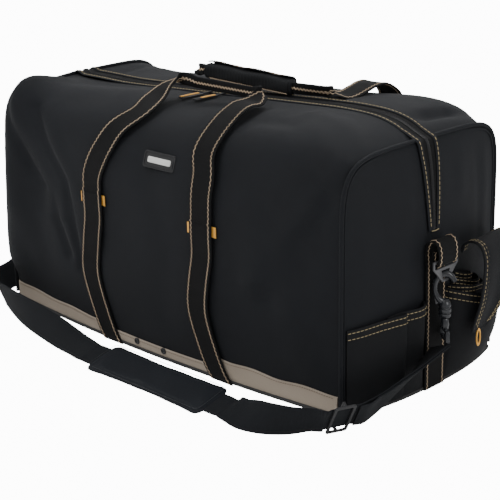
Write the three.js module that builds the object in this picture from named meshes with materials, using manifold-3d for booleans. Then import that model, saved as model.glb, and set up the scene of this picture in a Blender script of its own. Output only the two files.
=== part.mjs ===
// Soft garden tool bag with two webbing handles, a two-way zip, end pockets
// and a clip-on shoulder strap. Millimetres, +X to the right end, -Y to the
// front, +Z up, origin on the ground under the middle of the bag.
import * as THREE from 'three';
import { mergeVertices } from 'three/addons/utils/BufferGeometryUtils.js';
import Module from 'manifold-3d';

const wasm = await Module();
wasm.setup();

// ---- driving sizes -------------------------------------------------------
const bag = {
  length: 610, depth: 288, endHeight: 306,
  waist: 150,         // height where the front and back stand out furthest
  bellyBow: 24,       // how far the waist bows out beyond the corners
  footBow: 18,        // how far the bottom edge bows out
  endBow: 20,         // how far the ends bow out
  crown: 12,          // how far the top stands above the ends
  topSlope: 0.06,     // the top is fuller towards the right end
  cloth: 2.5,         // padded nylon
  seam: 3.3,          // height of the bottom seam
};
const webbing = { width: 38, thick: 2 };
const gap = 0.4;      // between layers that lie on each other
const zip = { half: 15.3, tape: 12.2, coil: 4.6, foot: 200 };
const handles = {
  foldHeight: 204, lift: 2.9, left: -96, right: 106,
};
const halfLength = bag.length / 2;
const halfDepth = bag.depth / 2;
const skirt = { binding: 5.2, bandTop: 22, bandRise: 6 };
const endFace = halfLength + 1.9;       // outer face of an end panel at its rim

// ---- finishes ------------------------------------------------------------
const finish = (color, roughness, metalness = 0) =>
  new THREE.MeshStandardMaterial({ color, roughness, metalness });
const nylon = finish(0x24272b, 0.82);
const strapBlack = finish(0x131314, 0.75);
const tan = finish(0xa59787, 0.9);
const yellow = finish(0xf5b450, 0.6);
const plastic = finish(0x17191b, 0.3);
const steel = finish(0x555555, 0.45, 0.8);
const rubber = finish(0x101011, 0.55);

const model = new THREE.Group();
const add = (name, geometry, material) => {
  const mesh = new THREE.Mesh(geometry, material);
  mesh.name = name;
  model.add(mesh);
};
const vec = (x, y, z) => new THREE.Vector3(x, y, z);
const flat = vec(1, 0, 0);
const upright = vec(0, 0, 1);

// ---- solids from points --------------------------------------------------
// A closed mesh from points and triangles, turned so that it faces outwards
function solid(points, triangles) {
  let volume = 0;
  for (const [a, b, c] of triangles) {
    volume += points[a].dot(points[b].clone().cross(points[c]));
  }
  const faces = volume < 0 ? triangles.map(([a, b, c]) => [a, c, b]) : triangles;
  const geometry = new THREE.BufferGeometry();
  const flat = points.flatMap((p) => [p.x, p.y, p.z]);
  geometry.setAttribute('position', new THREE.Float32BufferAttribute(flat, 3));
  geometry.setIndex(faces.flat());
  return geometry;
}

// Any geometry moved by a matrix, which may mirror it
function moved(geometry, matrix) {
  const welded = geometry.clone();
  welded.deleteAttribute('normal');
  welded.deleteAttribute('uv');
  const merged = mergeVertices(welded, 1e-4);
  merged.applyMatrix4(matrix);
  const at = merged.attributes.position;
  const points = [];
  for (let i = 0; i < at.count; i += 1) points.push(vec(at.getX(i), at.getY(i), at.getZ(i)));
  const triangles = [];
  for (let i = 0; i < merged.index.count; i += 3) {
    const corners = [0, 1, 2].map((k) => merged.index.getX(i + k));
    if (new Set(corners).size === 3) triangles.push(corners);
  }
  return solid(points, triangles);
}

const mirror = (side) => new THREE.Matrix4().makeScale(side, 1, 1);

// A cloth piece: a surface over u, v in 0..1, thickened along its normal
function cloth(surface, columns, rows, inner, outer) {
  const points = [];
  const step = 1e-3;
  const normalAt = (u, v) => {
    const alongU = surface(Math.min(u + step, 1), v).sub(surface(Math.max(u - step, 0), v));
    const alongV = surface(u, Math.min(v + step, 1)).sub(surface(u, Math.max(v - step, 0)));
    return alongU.cross(alongV).normalize();
  };
  for (const offset of [outer, inner]) {
    for (let j = 0; j <= rows; j += 1) {
      for (let i = 0; i <= columns; i += 1) {
        const [u, v] = [i / columns, j / rows];
        points.push(surface(u, v).addScaledVector(normalAt(u, v), offset));
      }
    }
  }
  const wide = columns + 1;
  const back = wide * (rows + 1);
  const triangles = [];
  const quad = (a, b, c, d) => triangles.push([a, b, c], [a, c, d]);
  for (let j = 0; j < rows; j += 1) {
    for (let i = 0; i < columns; i += 1) {
      const a = j * wide + i;
      quad(a, a + 1, a + 1 + wide, a + wide);
      quad(back + a, back + a + wide, back + a + 1 + wide, back + a + 1);
    }
  }
  const rim = [];
  for (let i = 0; i < columns; i += 1) rim.push(i);
  for (let j = 0; j < rows; j += 1) rim.push(j * wide + columns);
  for (let i = columns; i > 0; i -= 1) rim.push(rows * wide + i);
  for (let j = rows; j > 0; j -= 1) rim.push(j * wide);
  rim.forEach((a, k) => {
    const b = rim[(k + 1) % rim.length];
    quad(b, a, back + a, back + b);
  });
  return solid(points, triangles);
}

// A band of webbing through stations: where it is, which way its width runs,
// and how wide and thick it is there
function band(stations, steps, smooth = true) {
  const curve = (list) => new THREE.CatmullRomCurve3(list, false, 'centripetal');
  const path = curve(stations.map((s) => s.at));
  const across = new THREE.CatmullRomCurve3(stations.map((s) => s.across));
  const sizes = stations.map((s) => vec(s.width ?? webbing.width, s.thick ?? webbing.thick, 0));
  const points = [];
  const rings = smooth ? steps : stations.length - 1;
  for (let i = 0; i <= rings; i += 1) {
    const t = i / rings;
    const k = Math.min(Math.floor(t * (stations.length - 1)), stations.length - 2);
    const size = sizes[k].clone().lerp(sizes[k + 1], t * (stations.length - 1) - k);
    const tangent = path.getTangent(t);
    const wide = across.getPoint(t);
    wide.addScaledVector(tangent, -wide.dot(tangent)).normalize();
    const deep = tangent.clone().cross(wide);
    for (const [a, b] of [[-1, -1], [1, -1], [1, 1], [-1, 1]]) {
      points.push(path.getPoint(t).addScaledVector(wide, (a * size.x) / 2)
        .addScaledVector(deep, (b * size.y) / 2));
    }
  }
  const triangles = [[0, 1, 2], [0, 2, 3]];
  for (let i = 0; i < rings; i += 1) {
    for (let k = 0; k < 4; k += 1) {
      const [a, b] = [i * 4 + k, i * 4 + ((k + 1) % 4)];
      triangles.push([a, a + 4, b + 4], [a, b + 4, b]);
    }
  }
  const last = rings * 4;
  triangles.push([last, last + 2, last + 1], [last, last + 3, last + 2]);
  return solid(points, triangles);
}

// A round rod along a curve
function rod(points, radius, sides, steps) {
  const section = new THREE.Shape();
  for (let k = 0; k < sides; k += 1) {
    const turn = (k / sides) * 2 * Math.PI;
    const corner = [radius * Math.cos(turn), radius * Math.sin(turn)];
    if (k === 0) section.moveTo(...corner);
    else section.lineTo(...corner);
  }
  const extrudePath = new THREE.CatmullRomCurve3(points, false, 'centripetal');
  return moved(new THREE.ExtrudeGeometry(section, { steps, extrudePath, bevelEnabled: false }),
    new THREE.Matrix4());
}

function rounded(width, height, radius) {
  const [w, h] = [width / 2, height / 2];
  const shape = new THREE.Shape();
  shape.moveTo(-w + radius, -h);
  shape.lineTo(w - radius, -h);
  shape.absarc(w - radius, -h + radius, radius, -Math.PI / 2, 0);
  shape.absarc(w - radius, h - radius, radius, 0, Math.PI / 2);
  shape.absarc(-w + radius, h - radius, radius, Math.PI / 2, Math.PI);
  shape.absarc(-w + radius, -h + radius, radius, Math.PI, 1.5 * Math.PI);
  return shape;
}

// A flat shape, thick along its own Z, centred, set down by a matrix
function plate(shape, thick, matrix, curveSegments = 4) {
  const geometry = new THREE.ExtrudeGeometry(shape, { depth: thick, bevelEnabled: false, curveSegments });
  geometry.translate(0, 0, -thick / 2);
  return moved(geometry, matrix);
}

// The matrix that takes X, Y, Z to three directions at a place
const frameAt = (place, xAxis, yAxis, zAxis) =>
  new THREE.Matrix4().makeBasis(xAxis, yAxis, zAxis).setPosition(place);

// Two solids joined or cut
function combine(first, second, operation) {
  const lift = (geometry) => {
    const welded = moved(geometry, new THREE.Matrix4());
    return new wasm.Manifold(new wasm.Mesh({
      numProp: 3,
      vertProperties: new Float32Array(welded.attributes.position.array),
      triVerts: new Uint32Array(welded.index.array),
    }));
  };
  const mesh = lift(first)[operation](lift(second)).getMesh();
  const geometry = new THREE.BufferGeometry();
  geometry.setAttribute('position', new THREE.Float32BufferAttribute(mesh.vertProperties, 3));
  geometry.setIndex(Array.from(mesh.triVerts));
  return geometry;
}

// ---- shape of the bag ----------------------------------------------------
const nearEnd = (x, power) => 1 - Math.abs(x / halfLength) ** power;
const topAt = (x) => bag.endHeight + nearEnd(x, 8) * (bag.crown + bag.topSlope * x);
const footAt = (x) => halfDepth + bag.footBow * nearEnd(x, 2);
const waistAt = (x) => halfDepth + bag.bellyBow * nearEnd(x, 2.5);
const squareness = (x) => 4 + 3 * (x / halfLength) ** 2;

// Distance of the side from the middle plane, at a height
function sideAt(x, z) {
  if (z < bag.waist) {
    const rise = Math.sin((Math.PI / 2) * (z / bag.waist));
    return footAt(x) + (waistAt(x) - footAt(x)) * rise;
  }
  const rise = (z - bag.waist) / (topAt(x) - bag.waist);
  return waistAt(x) * Math.max(0, 1 - rise ** squareness(x)) ** (1 / squareness(x));
}

// Height of the top at a distance from the middle plane
const roofAt = (x, y) => bag.waist
  + (topAt(x) - bag.waist) * (1 - Math.abs(y / waistAt(x)) ** squareness(x)) ** (1 / squareness(x));

// Half the outline across the bag, from the bottom seam (0) to a distance
// from the middle plane (1), as [distance from the middle plane, height]
function profile(x, s, toMiddle) {
  const straight = 0.3;
  if (s < straight) {
    const z = bag.seam + (bag.waist - bag.seam) * (s / straight);
    return [sideAt(x, z), z];
  }
  const n = squareness(x);
  const last = Math.acos((toMiddle / waistAt(x)) ** (n / 2));
  const turn = last * ((s - straight) / (1 - straight));
  return [waistAt(x) * Math.cos(turn) ** (2 / n),
    bag.waist + (topAt(x) - bag.waist) * Math.sin(turn) ** (2 / n)];
}

// A place on the front (face -1) or back (face 1), held off the cloth
function onSide(x, z, off, face) {
  const step = 0.5;
  const lean = (sideAt(x, z + step) - sideAt(x, z - step)) / (2 * step);
  const normal = vec(0, 1, -lean).normalize();
  return vec(x, face * (sideAt(x, z) + off * normal.y), z + off * normal.z);
}
const onTop = (x, y, off) => vec(x, y, roofAt(x, y) + off);

const endBulge = (y, z) => bag.endBow * Math.max(0, 1 - Math.abs(y / halfDepth) ** 2.5)
  * Math.sqrt(Math.max(0, 1 - (z / bag.endHeight) ** 3));
const onEnd = (y, z, off) => vec(endFace + endBulge(y, z) + off, y, z);

// ---- shell ---------------------------------------------------------------
const spread = (u, reach) => reach * Math.sin((u - 0.5) * Math.PI);
for (const [name, face] of [['front', -1], ['back', 1]]) {
  const surface = (u, v) => {
    const x = spread(u, halfLength - 2);
    const [y, z] = profile(x, v, zip.half);
    return vec(x, face * y, z);
  };
  add(`${name}_panel`, cloth(surface, 20, 11, bag.cloth * face, 0), nylon);
}

// Ends: rings shrinking to the middle of the outline
function endPanel(side) {
  const outline = [];
  const top = 8;
  for (let i = 0; i < 5; i += 1) outline.push([-footAt(halfLength) * (1 - i / 2.5), bag.seam]);
  for (let i = 0; i <= top; i += 1) outline.push(profile(halfLength, 0.02 + 0.98 * (i / top), 8));
  for (let i = top; i >= 0; i -= 1) {
    const [y, z] = profile(halfLength, 0.02 + 0.98 * (i / top), 8);
    outline.push([-y, z]);
  }
  const middle = 155;
  const rings = [1, 0.82, 0.64, 0.44, 0.22];
  const points = [];
  for (const off of [0, -bag.cloth]) {
    for (const ring of rings) {
      for (const [y, z] of outline) {
        const at = onEnd(y * ring, middle + (z - middle) * ring, off);
        points.push(vec(side * at.x, at.y, at.z));
      }
    }
    const centre = onEnd(0, middle, off);
    points.push(vec(side * centre.x, centre.y, centre.z));
  }
  const around = outline.length;
  const layer = rings.length * around + 1;
  const triangles = [];
  for (let k = 0; k < around; k += 1) {
    const next = (k + 1) % around;
    for (const [base, flip] of [[0, false], [layer, true]]) {
      const push = (a, b, c) => triangles.push(flip ? [a, c, b] : [a, b, c]);
      for (let r = 0; r < rings.length - 1; r += 1) {
        const [a, b] = [base + r * around + k, base + r * around + next];
        push(a, b, b + around);
        push(a, b + around, a + around);
      }
      const inner = base + (rings.length - 1) * around;
      push(inner + k, inner + next, base + layer - 1);
    }
    triangles.push([k, k + layer, next + layer], [k, next + layer, next]);
  }
  return solid(points, triangles);
}

// Outline of the bottom, at a distance outside it, as [x, y] all round
function footprint(off, along = 20, across = 8) {
  const corners = [];
  for (const turn of [1, -1]) {
    for (let i = 0; i <= along; i += 1) {
      const x = -turn * (halfLength + 0.5) * Math.cos((Math.PI * i) / along);
      corners.push([x, -turn * (footAt(Math.min(Math.abs(x), halfLength)) + off)]);
    }
    for (let i = 0; i <= across; i += 1) {
      const y = -turn * halfDepth * (1 - (2 * i) / across);
      corners.push([turn * (endFace + endBulge(y, 0) + off), y]);
    }
  }
  return corners;
}
const outlineShape = (corners) => new THREE.Shape(corners.map(([x, y]) => new THREE.Vector2(x, y)));
const standing = (height) => new THREE.Matrix4().makeTranslation(0, 0, height);

const baseThick = 2.9;
add('base_panel', plate(outlineShape(footprint(-1)), baseThick, standing(baseThick / 2)), nylon);
const board = { length: 560, depth: 262, thick: 3 };
add('base_board', plate(rounded(board.length, board.depth, 20), board.thick,
  standing(baseThick + gap + board.thick / 2)), plastic);

const bindingRing = outlineShape(footprint(2.4));
bindingRing.holes.push(new THREE.Path(footprint(0.8).map(([x, y]) => new THREE.Vector2(x, y))));
add('base_binding', plate(bindingRing, skirt.binding - 0.6,
  standing(0.6 + (skirt.binding - 0.6) / 2)), strapBlack);

for (const [name, face] of [['front', -1], ['back', 1]]) {
  const surface = (u, v) => {
    const x = spread(u, halfLength - 3);
    const low = skirt.binding + gap;
    const high = skirt.bandTop + skirt.bandRise * Math.abs(x / halfLength) ** 2;
    const z = low + (high - low) * v;
    return vec(x, face * sideAt(x, z), z);
  };
  add(`${name}_guard_band`, cloth(surface, 20, 1, -gap * face, -1.4 * face), tan);
}

for (const [name, side] of [['left', -1], ['right', 1]]) {
  add(`${name}_end_panel`, endPanel(side), nylon);
  for (const [face, sign] of [['front', -1], ['rear', 1]]) {
    const off = 3.6;
    const seam = [];
    for (let i = 0; i <= 14; i += 1) {
      const s = 0.012 + 0.988 * (i / 14);
      const [y, z] = profile(halfLength, s, zip.half + 3);
      const [yNext, zNext] = profile(halfLength, Math.min(s + 0.01, 1), zip.half + 3);
      const [yBack, zBack] = profile(halfLength, s - 0.01, zip.half + 3);
      const run = Math.hypot(yNext - yBack, zNext - zBack);
      const [ny, nz] = [(zNext - zBack) / run, -(yNext - yBack) / run];
      seam.push(vec(side * (endFace + endBulge(y, z)), sign * (y + off * ny), z + off * nz));
    }
    add(`${name}_${face}_piping`, rod(seam, 2.6, 6, 22), nylon);
  }
}

// ---- zip -----------------------------------------------------------------
// Line of the zip from one end over the top to the other, seen from the front
function zipLine(off) {
  const line = [];
  for (const side of [-1, 1]) {
    const half = [];
    for (const z of [zip.foot, 225, 250, 272, 288]) {
      const at = onEnd(0, z, gap + 0.6 + off);
      half.push(vec(side * at.x, 0, z));
    }
    half.push(vec(side * (halfLength + 5.8 + off * 0.7), 0, 305.4 + off * 0.7));
    half.push(vec(side * (halfLength - 1), 0, Math.max(309, topAt(side * 302)) + off));
    for (const x of [290, 275, 250, 200, 150, 75]) {
      half.push(vec(side * x, 0, Math.max(topAt(side * x), 306.6) - 0.8 + off));
    }
    if (side < 0) line.push(...half, vec(0, 0, topAt(0) - 0.8 + off));
    else line.push(...half.reverse());
  }
  return line;
}
const zipBand = (y, width, off, thick) => band(zipLine(off).map((at) => (
  { at: at.clone().setY(y), across: vec(0, 1, 0), width, thick })), 0, false);
const tapeMiddle = zip.coil / 2 + gap + zip.tape / 2;
add('zip_tape_front', zipBand(-tapeMiddle, zip.tape, 0, 1), strapBlack);
add('zip_tape_back', zipBand(tapeMiddle, zip.tape, 0, 1), strapBlack);
add('zip_coil', zipBand(0, zip.coil, 0.8, 2.4), plastic);

// Sliders ride on the coil and carry a cord pull that lies over the front
const slope = Math.atan(bag.topSlope);
const tilted = (x, y, z) => new THREE.Matrix4().makeRotationY(-slope)
  .setPosition(x, y, z);
const slider = { length: 15, width: 11, base: 2.2, bail: 4.8, bar: 1.4, lift: 1.5 };
const lyingFlat = new THREE.Matrix4().makeRotationX(Math.PI / 2);
for (const [name, x] of [['left', -26], ['right', 0]]) {
  const height = topAt(x) + slider.lift + slider.base / 2;
  const side = new THREE.Shape();
  const [l, b, top] = [slider.length / 2, slider.base / 2, slider.base / 2 + slider.bail];
  side.moveTo(-l, -b);
  side.lineTo(l, -b);
  side.lineTo(l, b);
  side.lineTo(4.6, top);
  side.lineTo(-4.6, top);
  side.lineTo(-l, b);
  const eye = new THREE.Path();
  eye.moveTo(-3.3, b + 0.2);
  eye.lineTo(-3.3, top - slider.bar);
  eye.lineTo(3.3, top - slider.bar);
  eye.lineTo(3.3, b + 0.2);
  side.holes.push(eye);
  const body = plate(side, slider.width, lyingFlat.clone().premultiply(tilted(x, 0, height)));
  const shoulders = new THREE.BoxGeometry(slider.length + 2, slider.width, slider.bail);
  const cutters = [-1, 1].map((s) => moved(shoulders, tilted(x, s * (slider.width / 2 + 0.8),
    height + b + slider.bail / 2 + 0.01)));
  add(`${name}_zip_slider`, cutters.reduce((left, cutter) => combine(left, cutter, 'subtract'), body),
    steel);
  // pull: a ring on the bail, a neck and a flat tab that lies on the cloth
  const ring = new THREE.Shape();
  ring.absarc(0, 0, 3.6, 0, 2 * Math.PI);
  const bore = new THREE.Path();
  bore.absarc(0, 0, 2.2, 0, 2 * Math.PI);
  ring.holes.push(bore);
  const ringAt = height + top - slider.bar / 2;
  const loop = plate(ring, 2, frameAt(vec(x, 0, ringAt), vec(0, 1, 0), vec(0, 0, 1), vec(1, 0, 0)), 10);
  const neck = [[0, -3, ringAt], [-1, -13, topAt(x) + 3.8], [-2, -24, topAt(x) + 2], [-3, -34, topAt(x) + 1.8]]
    .map(([dx, y, z]) => ({ at: vec(x + dx, y, z), across: flat, width: 2.6, thick: 1.8 }));
  const tab = [[-3, -33, topAt(x) + 1.8], [-8, -66, topAt(x) + 0.9]]
    .map(([dx, y, z]) => ({ at: vec(x + dx, y, z), across: flat, width: 9, thick: 2 }));
  add(`${name}_zip_pull`, combine(combine(loop, band(neck, 6), 'add'), band(tab, 1), 'add'), yellow);
}

// ---- label and eyelets ---------------------------------------------------
const label = { x: 26, z: 263, width: 55, height: 21, thick: 2.2 };
add('label_patch', cloth((u, v) => {
  const [x, z] = [label.x + (u - 0.5) * label.width, label.z + (v - 0.5) * label.height];
  return vec(x, -sideAt(x, z), z);
}, 4, 2, gap, gap + label.thick), rubber);

for (const [name, x] of [['left', -26], ['right', 25]]) {
  const ring = new THREE.Shape();
  ring.absarc(0, 0, 4.6, 0, 2 * Math.PI);
  const bore = new THREE.Path();
  bore.absarc(0, 0, 2.2, 0, 2 * Math.PI);
  ring.holes.push(bore);
  const place = onSide(x, 13.5, 1.4 + gap + 0.7, -1);
  add(`${name}_drain_eyelet`, plate(ring, 1.2,
    frameAt(place, vec(1, 0, 0), vec(0, 0, 1), vec(0, -1, 0)), 8), rubber);
}

// ---- handles -------------------------------------------------------------
// The sewn legs sway a little from the bottom seam up to the fold
const swayAt = (z) => 24 * Math.exp(-z / 28) - 12 * Math.exp(-(((z - 95) / 45) ** 2));
const legs = [
  ['front_left', handles.left, -1], ['front_right', handles.right, -1],
  ['back_left', handles.left, 1], ['back_right', handles.right, 1],
];
for (const [name, x, face] of legs) {
  const leg = (u, v) => {
    const z = 1.2 + (handles.foldHeight - 2.4) * v;
    const at = x + swayAt(z) - swayAt(handles.foldHeight) + (u - 0.5) * webbing.width;
    return vec(at, face * sideAt(at, z), z);
  };
  const [inner, outer] = [handles.lift, handles.lift + webbing.thick];
  add(`${name}_handle_leg`, cloth(leg, 2, 12, -face * inner, -face * outer), strapBlack);
  const tag = { width: 47, height: 17, z: handles.foldHeight - 10.5 };
  add(`${name}_handle_tag`, cloth((u, v) => {
    const [tx, z] = [x + (u - 0.5) * tag.width, tag.z + (v - 0.5) * tag.height];
    return vec(tx, face * sideAt(tx, z), z);
  }, 2, 1, -face * gap, -face * 1.6), yellow);
}

const folded = { width: 15, thick: 4.4 };
const legUp = (x, z, face, slack = 0) => (
  { at: onSide(x, z, handles.lift + 1 + slack, face), across: flat });
function handleStations(face, leftEnd, rightEnd, bridge, rightRise) {
  const free = (at, across, size) => ({ at, across, ...size });
  const shoulder = (x, y, off) => ({ at: onTop(x, face * y, off), across: flat });
  const beside = (end, x, dy, dz) => vec(x, end.y + face * dy, end.z + dz);
  const twist = { width: 30, thick: 3 };
  const [left, right] = bridge;
  return [
    legUp(handles.left, handles.foldHeight + 0.8, face), legUp(handles.left, 222, face),
    legUp(handles.left + 5, 238, face),
    legUp(handles.left + 18, 262, face, 1), legUp(handles.left + 32, 285, face, 3),
    shoulder(leftEnd + 4, 124, 8), shoulder(leftEnd, 95, 12),
    free(beside(left, leftEnd - 2, 24, -3), vec(1, 0, 0.2)),
    free(beside(left, leftEnd + 6, 6, 3), vec(0.7, -0.5 * face, 0.8), twist),
    ...[0, 0.04, 0.5, 0.96, 1].map((part) => free(left.clone().lerp(right, part), upright, folded)),
    free(beside(right, rightEnd - 6, 6, rightRise), vec(-0.7, -0.5 * face, 0.8), twist),
    free(beside(right, rightEnd, 24, rightRise - 6), vec(-1, 0, 0.2)),
    shoulder(rightEnd, 95, 13), shoulder(rightEnd, 124, 9),
    legUp((handles.right + rightEnd) / 2, 285, face, 5), legUp(handles.right + 3, 262, face, 2),
    legUp(handles.right, 238, face), legUp(handles.right, 222, face),
    legUp(handles.right, handles.foldHeight + 0.8, face),
  ];
}
// widths run one way all along a band, so those of the right leg are turned to follow
const turned = (stations) => stations.map((s, i) => (
  i > 15 ? { ...s, across: s.across.clone().negate() } : s));
const frontBridge = [vec(-20, -48, 337), vec(78, -48, 337.5)];
const backBridge = [vec(-80, 20, 336), vec(96, 15, 334.5)];
add('front_handle', band(turned(handleStations(-1, -50, 104, frontBridge, 3)), 72), strapBlack);
add('back_handle', band(turned(handleStations(1, -104, 146, backBridge, 9)), 72), strapBlack);

// Padded grip closed round the back handle, and the flap that closes it
const grip = { length: 160, width: 18, height: 21 };
const gripMiddle = backBridge[0].clone().lerp(backBridge[1], 0.5);
const gripRun = backBridge[1].clone().sub(backBridge[0]).normalize();
const gripAcross = upright.clone().cross(gripRun).normalize();
const gripUp = gripRun.clone().cross(gripAcross);
const sleeve = rounded(grip.width, grip.height, 8);
const slot = rounded(folded.thick + 1.4, folded.width + 1.4, 1);
sleeve.holes.push(new THREE.Path(slot.getPoints(2)));
add('handle_grip', plate(sleeve, grip.length, frameAt(gripMiddle, gripAcross, gripUp, gripRun), 3),
  nylon);
add('grip_flap', cloth((u, v) => {
  const turn = THREE.MathUtils.degToRad(100 - 100 * v);
  return gripMiddle.clone().addScaledVector(gripRun, (u - 0.5) * (grip.length - 8))
    .addScaledVector(gripAcross, (grip.width / 2 + 1.4) * Math.cos(turn))
    .addScaledVector(gripUp, (grip.height / 2 + 1.2) * Math.sin(turn));
}, 3, 6, 0, 1.6), nylon);

// ---- ends: pockets, webbing, rings and snap hooks ------------------------
const anchor = { lift: 2.6, top: 180 };
const barAt = { x: endFace + bag.endBow + 16, z: 167 };
for (const [name, side] of [['left', -1], ['right', 1]]) {
  const there = mirror(side);
  // a pocket stands off the end and is open along its top edge
  const pocket = (yLow, yHigh, topLow, topHigh, deep) => moved(cloth((u, v) => {
    const y = yLow + (yHigh - yLow) * u;
    const high = topLow + (topHigh - topLow) * u;
    const z = 6.5 + (high - 6.5) * v;
    const stand = deep * Math.sin(Math.PI * u) ** 0.7 * Math.sin((Math.PI / 2) * v) ** 0.8;
    return onEnd(y, z, gap + 2 + stand);
  }, 10, 6, -2, 0), there);
  add(`${name}_front_pocket`, pocket(-139, -20.5, 108, 116, 12), nylon);
  add(`${name}_rear_pocket`, pocket(20.5, 139, 122, 98, 34), nylon);

  // closing flap of the rear pocket: a hem sewn to the end, the flap beyond
  // the fold and its cord loop
  const flapLine = new THREE.CatmullRomCurve3([
    [323.6, 88, 168], [329, 85, 179], [342, 84, 186], [357, 82, 183], [367, 80, 168], [371, 78, 140],
    [370, 76, 110], [367, 74, 84], [363, 72, 66]].map((at) => vec(...at)), false, 'centripetal');
  const fold = 0.25;
  const flap = (from, to) => (u, v) => {
    const part = from + (to - from) * v;
    const at = flapLine.getPoint(part);
    const y = at.y + (u - 0.5) * (22 + 52 * Math.cos((Math.PI / 2) * part) ** 0.6);
    const hug = Math.max(0, 1 - part / fold);
    return vec(at.x + hug * (endBulge(y, 150) - endBulge(at.y, 150)), y, at.z);
  };
  add(`${name}_flap_hem`, moved(cloth(flap(0, fold - 0.02), 5, 4, 0, -2), there), nylon);
  add(`${name}_pocket_flap`, moved(cloth(flap(fold, 1), 5, 14, 0, -2), there), nylon);
  const loop = new THREE.TorusGeometry(5.2, 1.4, 6, 12);
  loop.scale(0.75, 1.7, 1);
  add(`${name}_flap_loop`, moved(loop, frameAt(vec(363.2, 72, 54), vec(0, 1, 0), vec(0, 0, 1),
    vec(1, 0, 0)).premultiply(there)), yellow);

  // webbing sewn up the end, folded over into a loop that holds the ring
  const strip = [];
  for (let i = 0; i <= 8; i += 1) {
    const at = onEnd(0, 1.2 + (anchor.top - 1.2) * (i / 8), anchor.lift + webbing.thick / 2);
    strip.push({ at, across: vec(0, 1, 0) });
  }
  const curl = [[-12, 21], [-8.5, 24], [-3, 25], [2, 21], [4.4, 12], [4.4, 3], [2.8, -3.4],
    [-0.2, -5.2], [-3.2, -3.4], [-4.4, 3], [-4.6, 11]];
  for (const [dx, dz] of curl) strip.push({ at: vec(barAt.x + dx, 0, barAt.z + dz), across: vec(0, 1, 0) });
  add(`${name}_ring_webbing`, moved(band(strip, 44), there), strapBlack);

  // flat triangular ring: bar in the webbing, slot for it, hole for the hook
  const outline = new THREE.Shape([[-23.5, 2], [-23.5, -8], [-5, -27], [5, -27], [23.5, -8], [23.5, 2]]
    .map(([y, z]) => new THREE.Vector2(y, z)));
  const slotHole = new THREE.Path([[-20.5, -1.8], [20.5, -1.8], [20.5, -7], [18.5, -8.2],
    [-18.5, -8.2], [-20.5, -7]].map(([y, z]) => new THREE.Vector2(y, z)));
  const hookHole = new THREE.Path([[-8, -12], [8, -12], [4.5, -23], [-4.5, -23]]
    .map(([y, z]) => new THREE.Vector2(y, z)));
  outline.holes.push(slotHole, hookHole);
  add(`${name}_ring`, plate(outline, 2.4, frameAt(vec(barAt.x, 0, barAt.z), vec(0, 1, 0),
    upright, flat).premultiply(there)), steel);

  // snap hook, turned half way round towards the front and leaning away from the bag
  const sideways = vec(Math.SQRT1_2, Math.SQRT1_2, 0);
  const hookUp = vec(-0.12, 0.12, 0.985).normalize();
  const hookTop = vec(barAt.x, 0, barAt.z - 17.5);
  const hookFrame = (down) => frameAt(hookTop.clone().addScaledVector(hookUp, -down),
    sideways, hookUp, sideways.clone().cross(hookUp)).premultiply(there);
  const jawRise = 17;
  const jaw = [];
  for (let turn = -85; turn <= 165; turn += 25) {
    const angle = THREE.MathUtils.degToRad(turn);
    jaw.push(vec(10.5 * Math.cos(angle), jawRise * Math.sin(angle), 0));
  }
  const barrel = new THREE.LatheGeometry([[0, -36], [5.8, -36], [6.8, -32], [6.8, -22], [4.6, -16],
    [0, -13]].map(([r, z]) => new THREE.Vector2(r, z)), 12);
  add(`${name}_hook_body`, moved(combine(rod(jaw, 2.5, 8, 20), barrel, 'add'), hookFrame(jawRise)),
    plastic);

  const gate = new THREE.Shape([[-9, 1], [-12.8, 1], [-14, -8], [-11.4, -20], [-7.6, -18],
    [-9, -8]].map(([x, y]) => new THREE.Vector2(x, y)));
  add(`${name}_hook_gate`, plate(gate, 4.4, hookFrame(jawRise)), plastic);

  // swivel pin and the eye that the strap runs through, edge on to the jaws
  const pin = new THREE.LatheGeometry([[0, -13], [4.2, -13], [5.4, -7], [4.2, -0.2], [0, -0.2]]
    .map(([r, z]) => new THREE.Vector2(r, z)), 12);
  const eyeShape = rounded(48, 15, 4);
  eyeShape.holes.push(new THREE.Path(rounded(41, 8, 2).getPoints(2)));
  const eye = plate(eyeShape, 4.4, frameAt(vec(0, -19, 0), vec(0, 0, 1), vec(0, 1, 0), vec(-1, 0, 0)));
  add(`${name}_hook_eye`, moved(combine(pin, eye, 'add'), hookFrame(jawRise + 36.5)), plastic);
}

// ---- shoulder strap ------------------------------------------------------
// Webbing from eye to eye along the ground in front of the bag: the lower
// edge, the direction of the width and its tilt from the ground in degrees
const lies = (x, y, z, heading, tilt) => {
  const [turn, lean] = [THREE.MathUtils.degToRad(heading + 90), THREE.MathUtils.degToRad(tilt)];
  const across = vec(Math.cos(turn) * Math.cos(lean), Math.sin(turn) * Math.cos(lean), Math.sin(lean));
  return { at: vec(x, y, z + 1.6).addScaledVector(across, webbing.width / 2), across };
};
const padLine = { y: -249, z: 7.2, tilt: 14 };
const onPad = (x) => lies(x, padLine.y, padLine.z, 0, padLine.tilt);
const glideAt = { x: 326, y: -176, z: 6.6, heading: 68, tilt: 122 };
const along = THREE.MathUtils.degToRad(glideAt.heading);
const nearGlide = (run) => lies(glideAt.x + run * Math.cos(along), glideAt.y + run * Math.sin(along),
  glideAt.z, glideAt.heading, glideAt.tilt);
const rising = (side) => [
  { at: vec(side * 350, -17, 64), across: vec(side * 0.7, -0.7, 0.1) },
  { at: vec(side * 350, -34, 57), across: vec(side * 0.68, -0.66, 0.25) },
  { at: vec(side * 349, -62, 46), across: vec(side * 0.62, -0.62, 0.45) },
  { at: vec(side * 346, -92, 35), across: vec(side * 0.55, -0.5, 0.65) },
  { at: vec(side * 342, -122, 24), across: vec(side * 0.48, -0.3, 0.82) },
];
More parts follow.
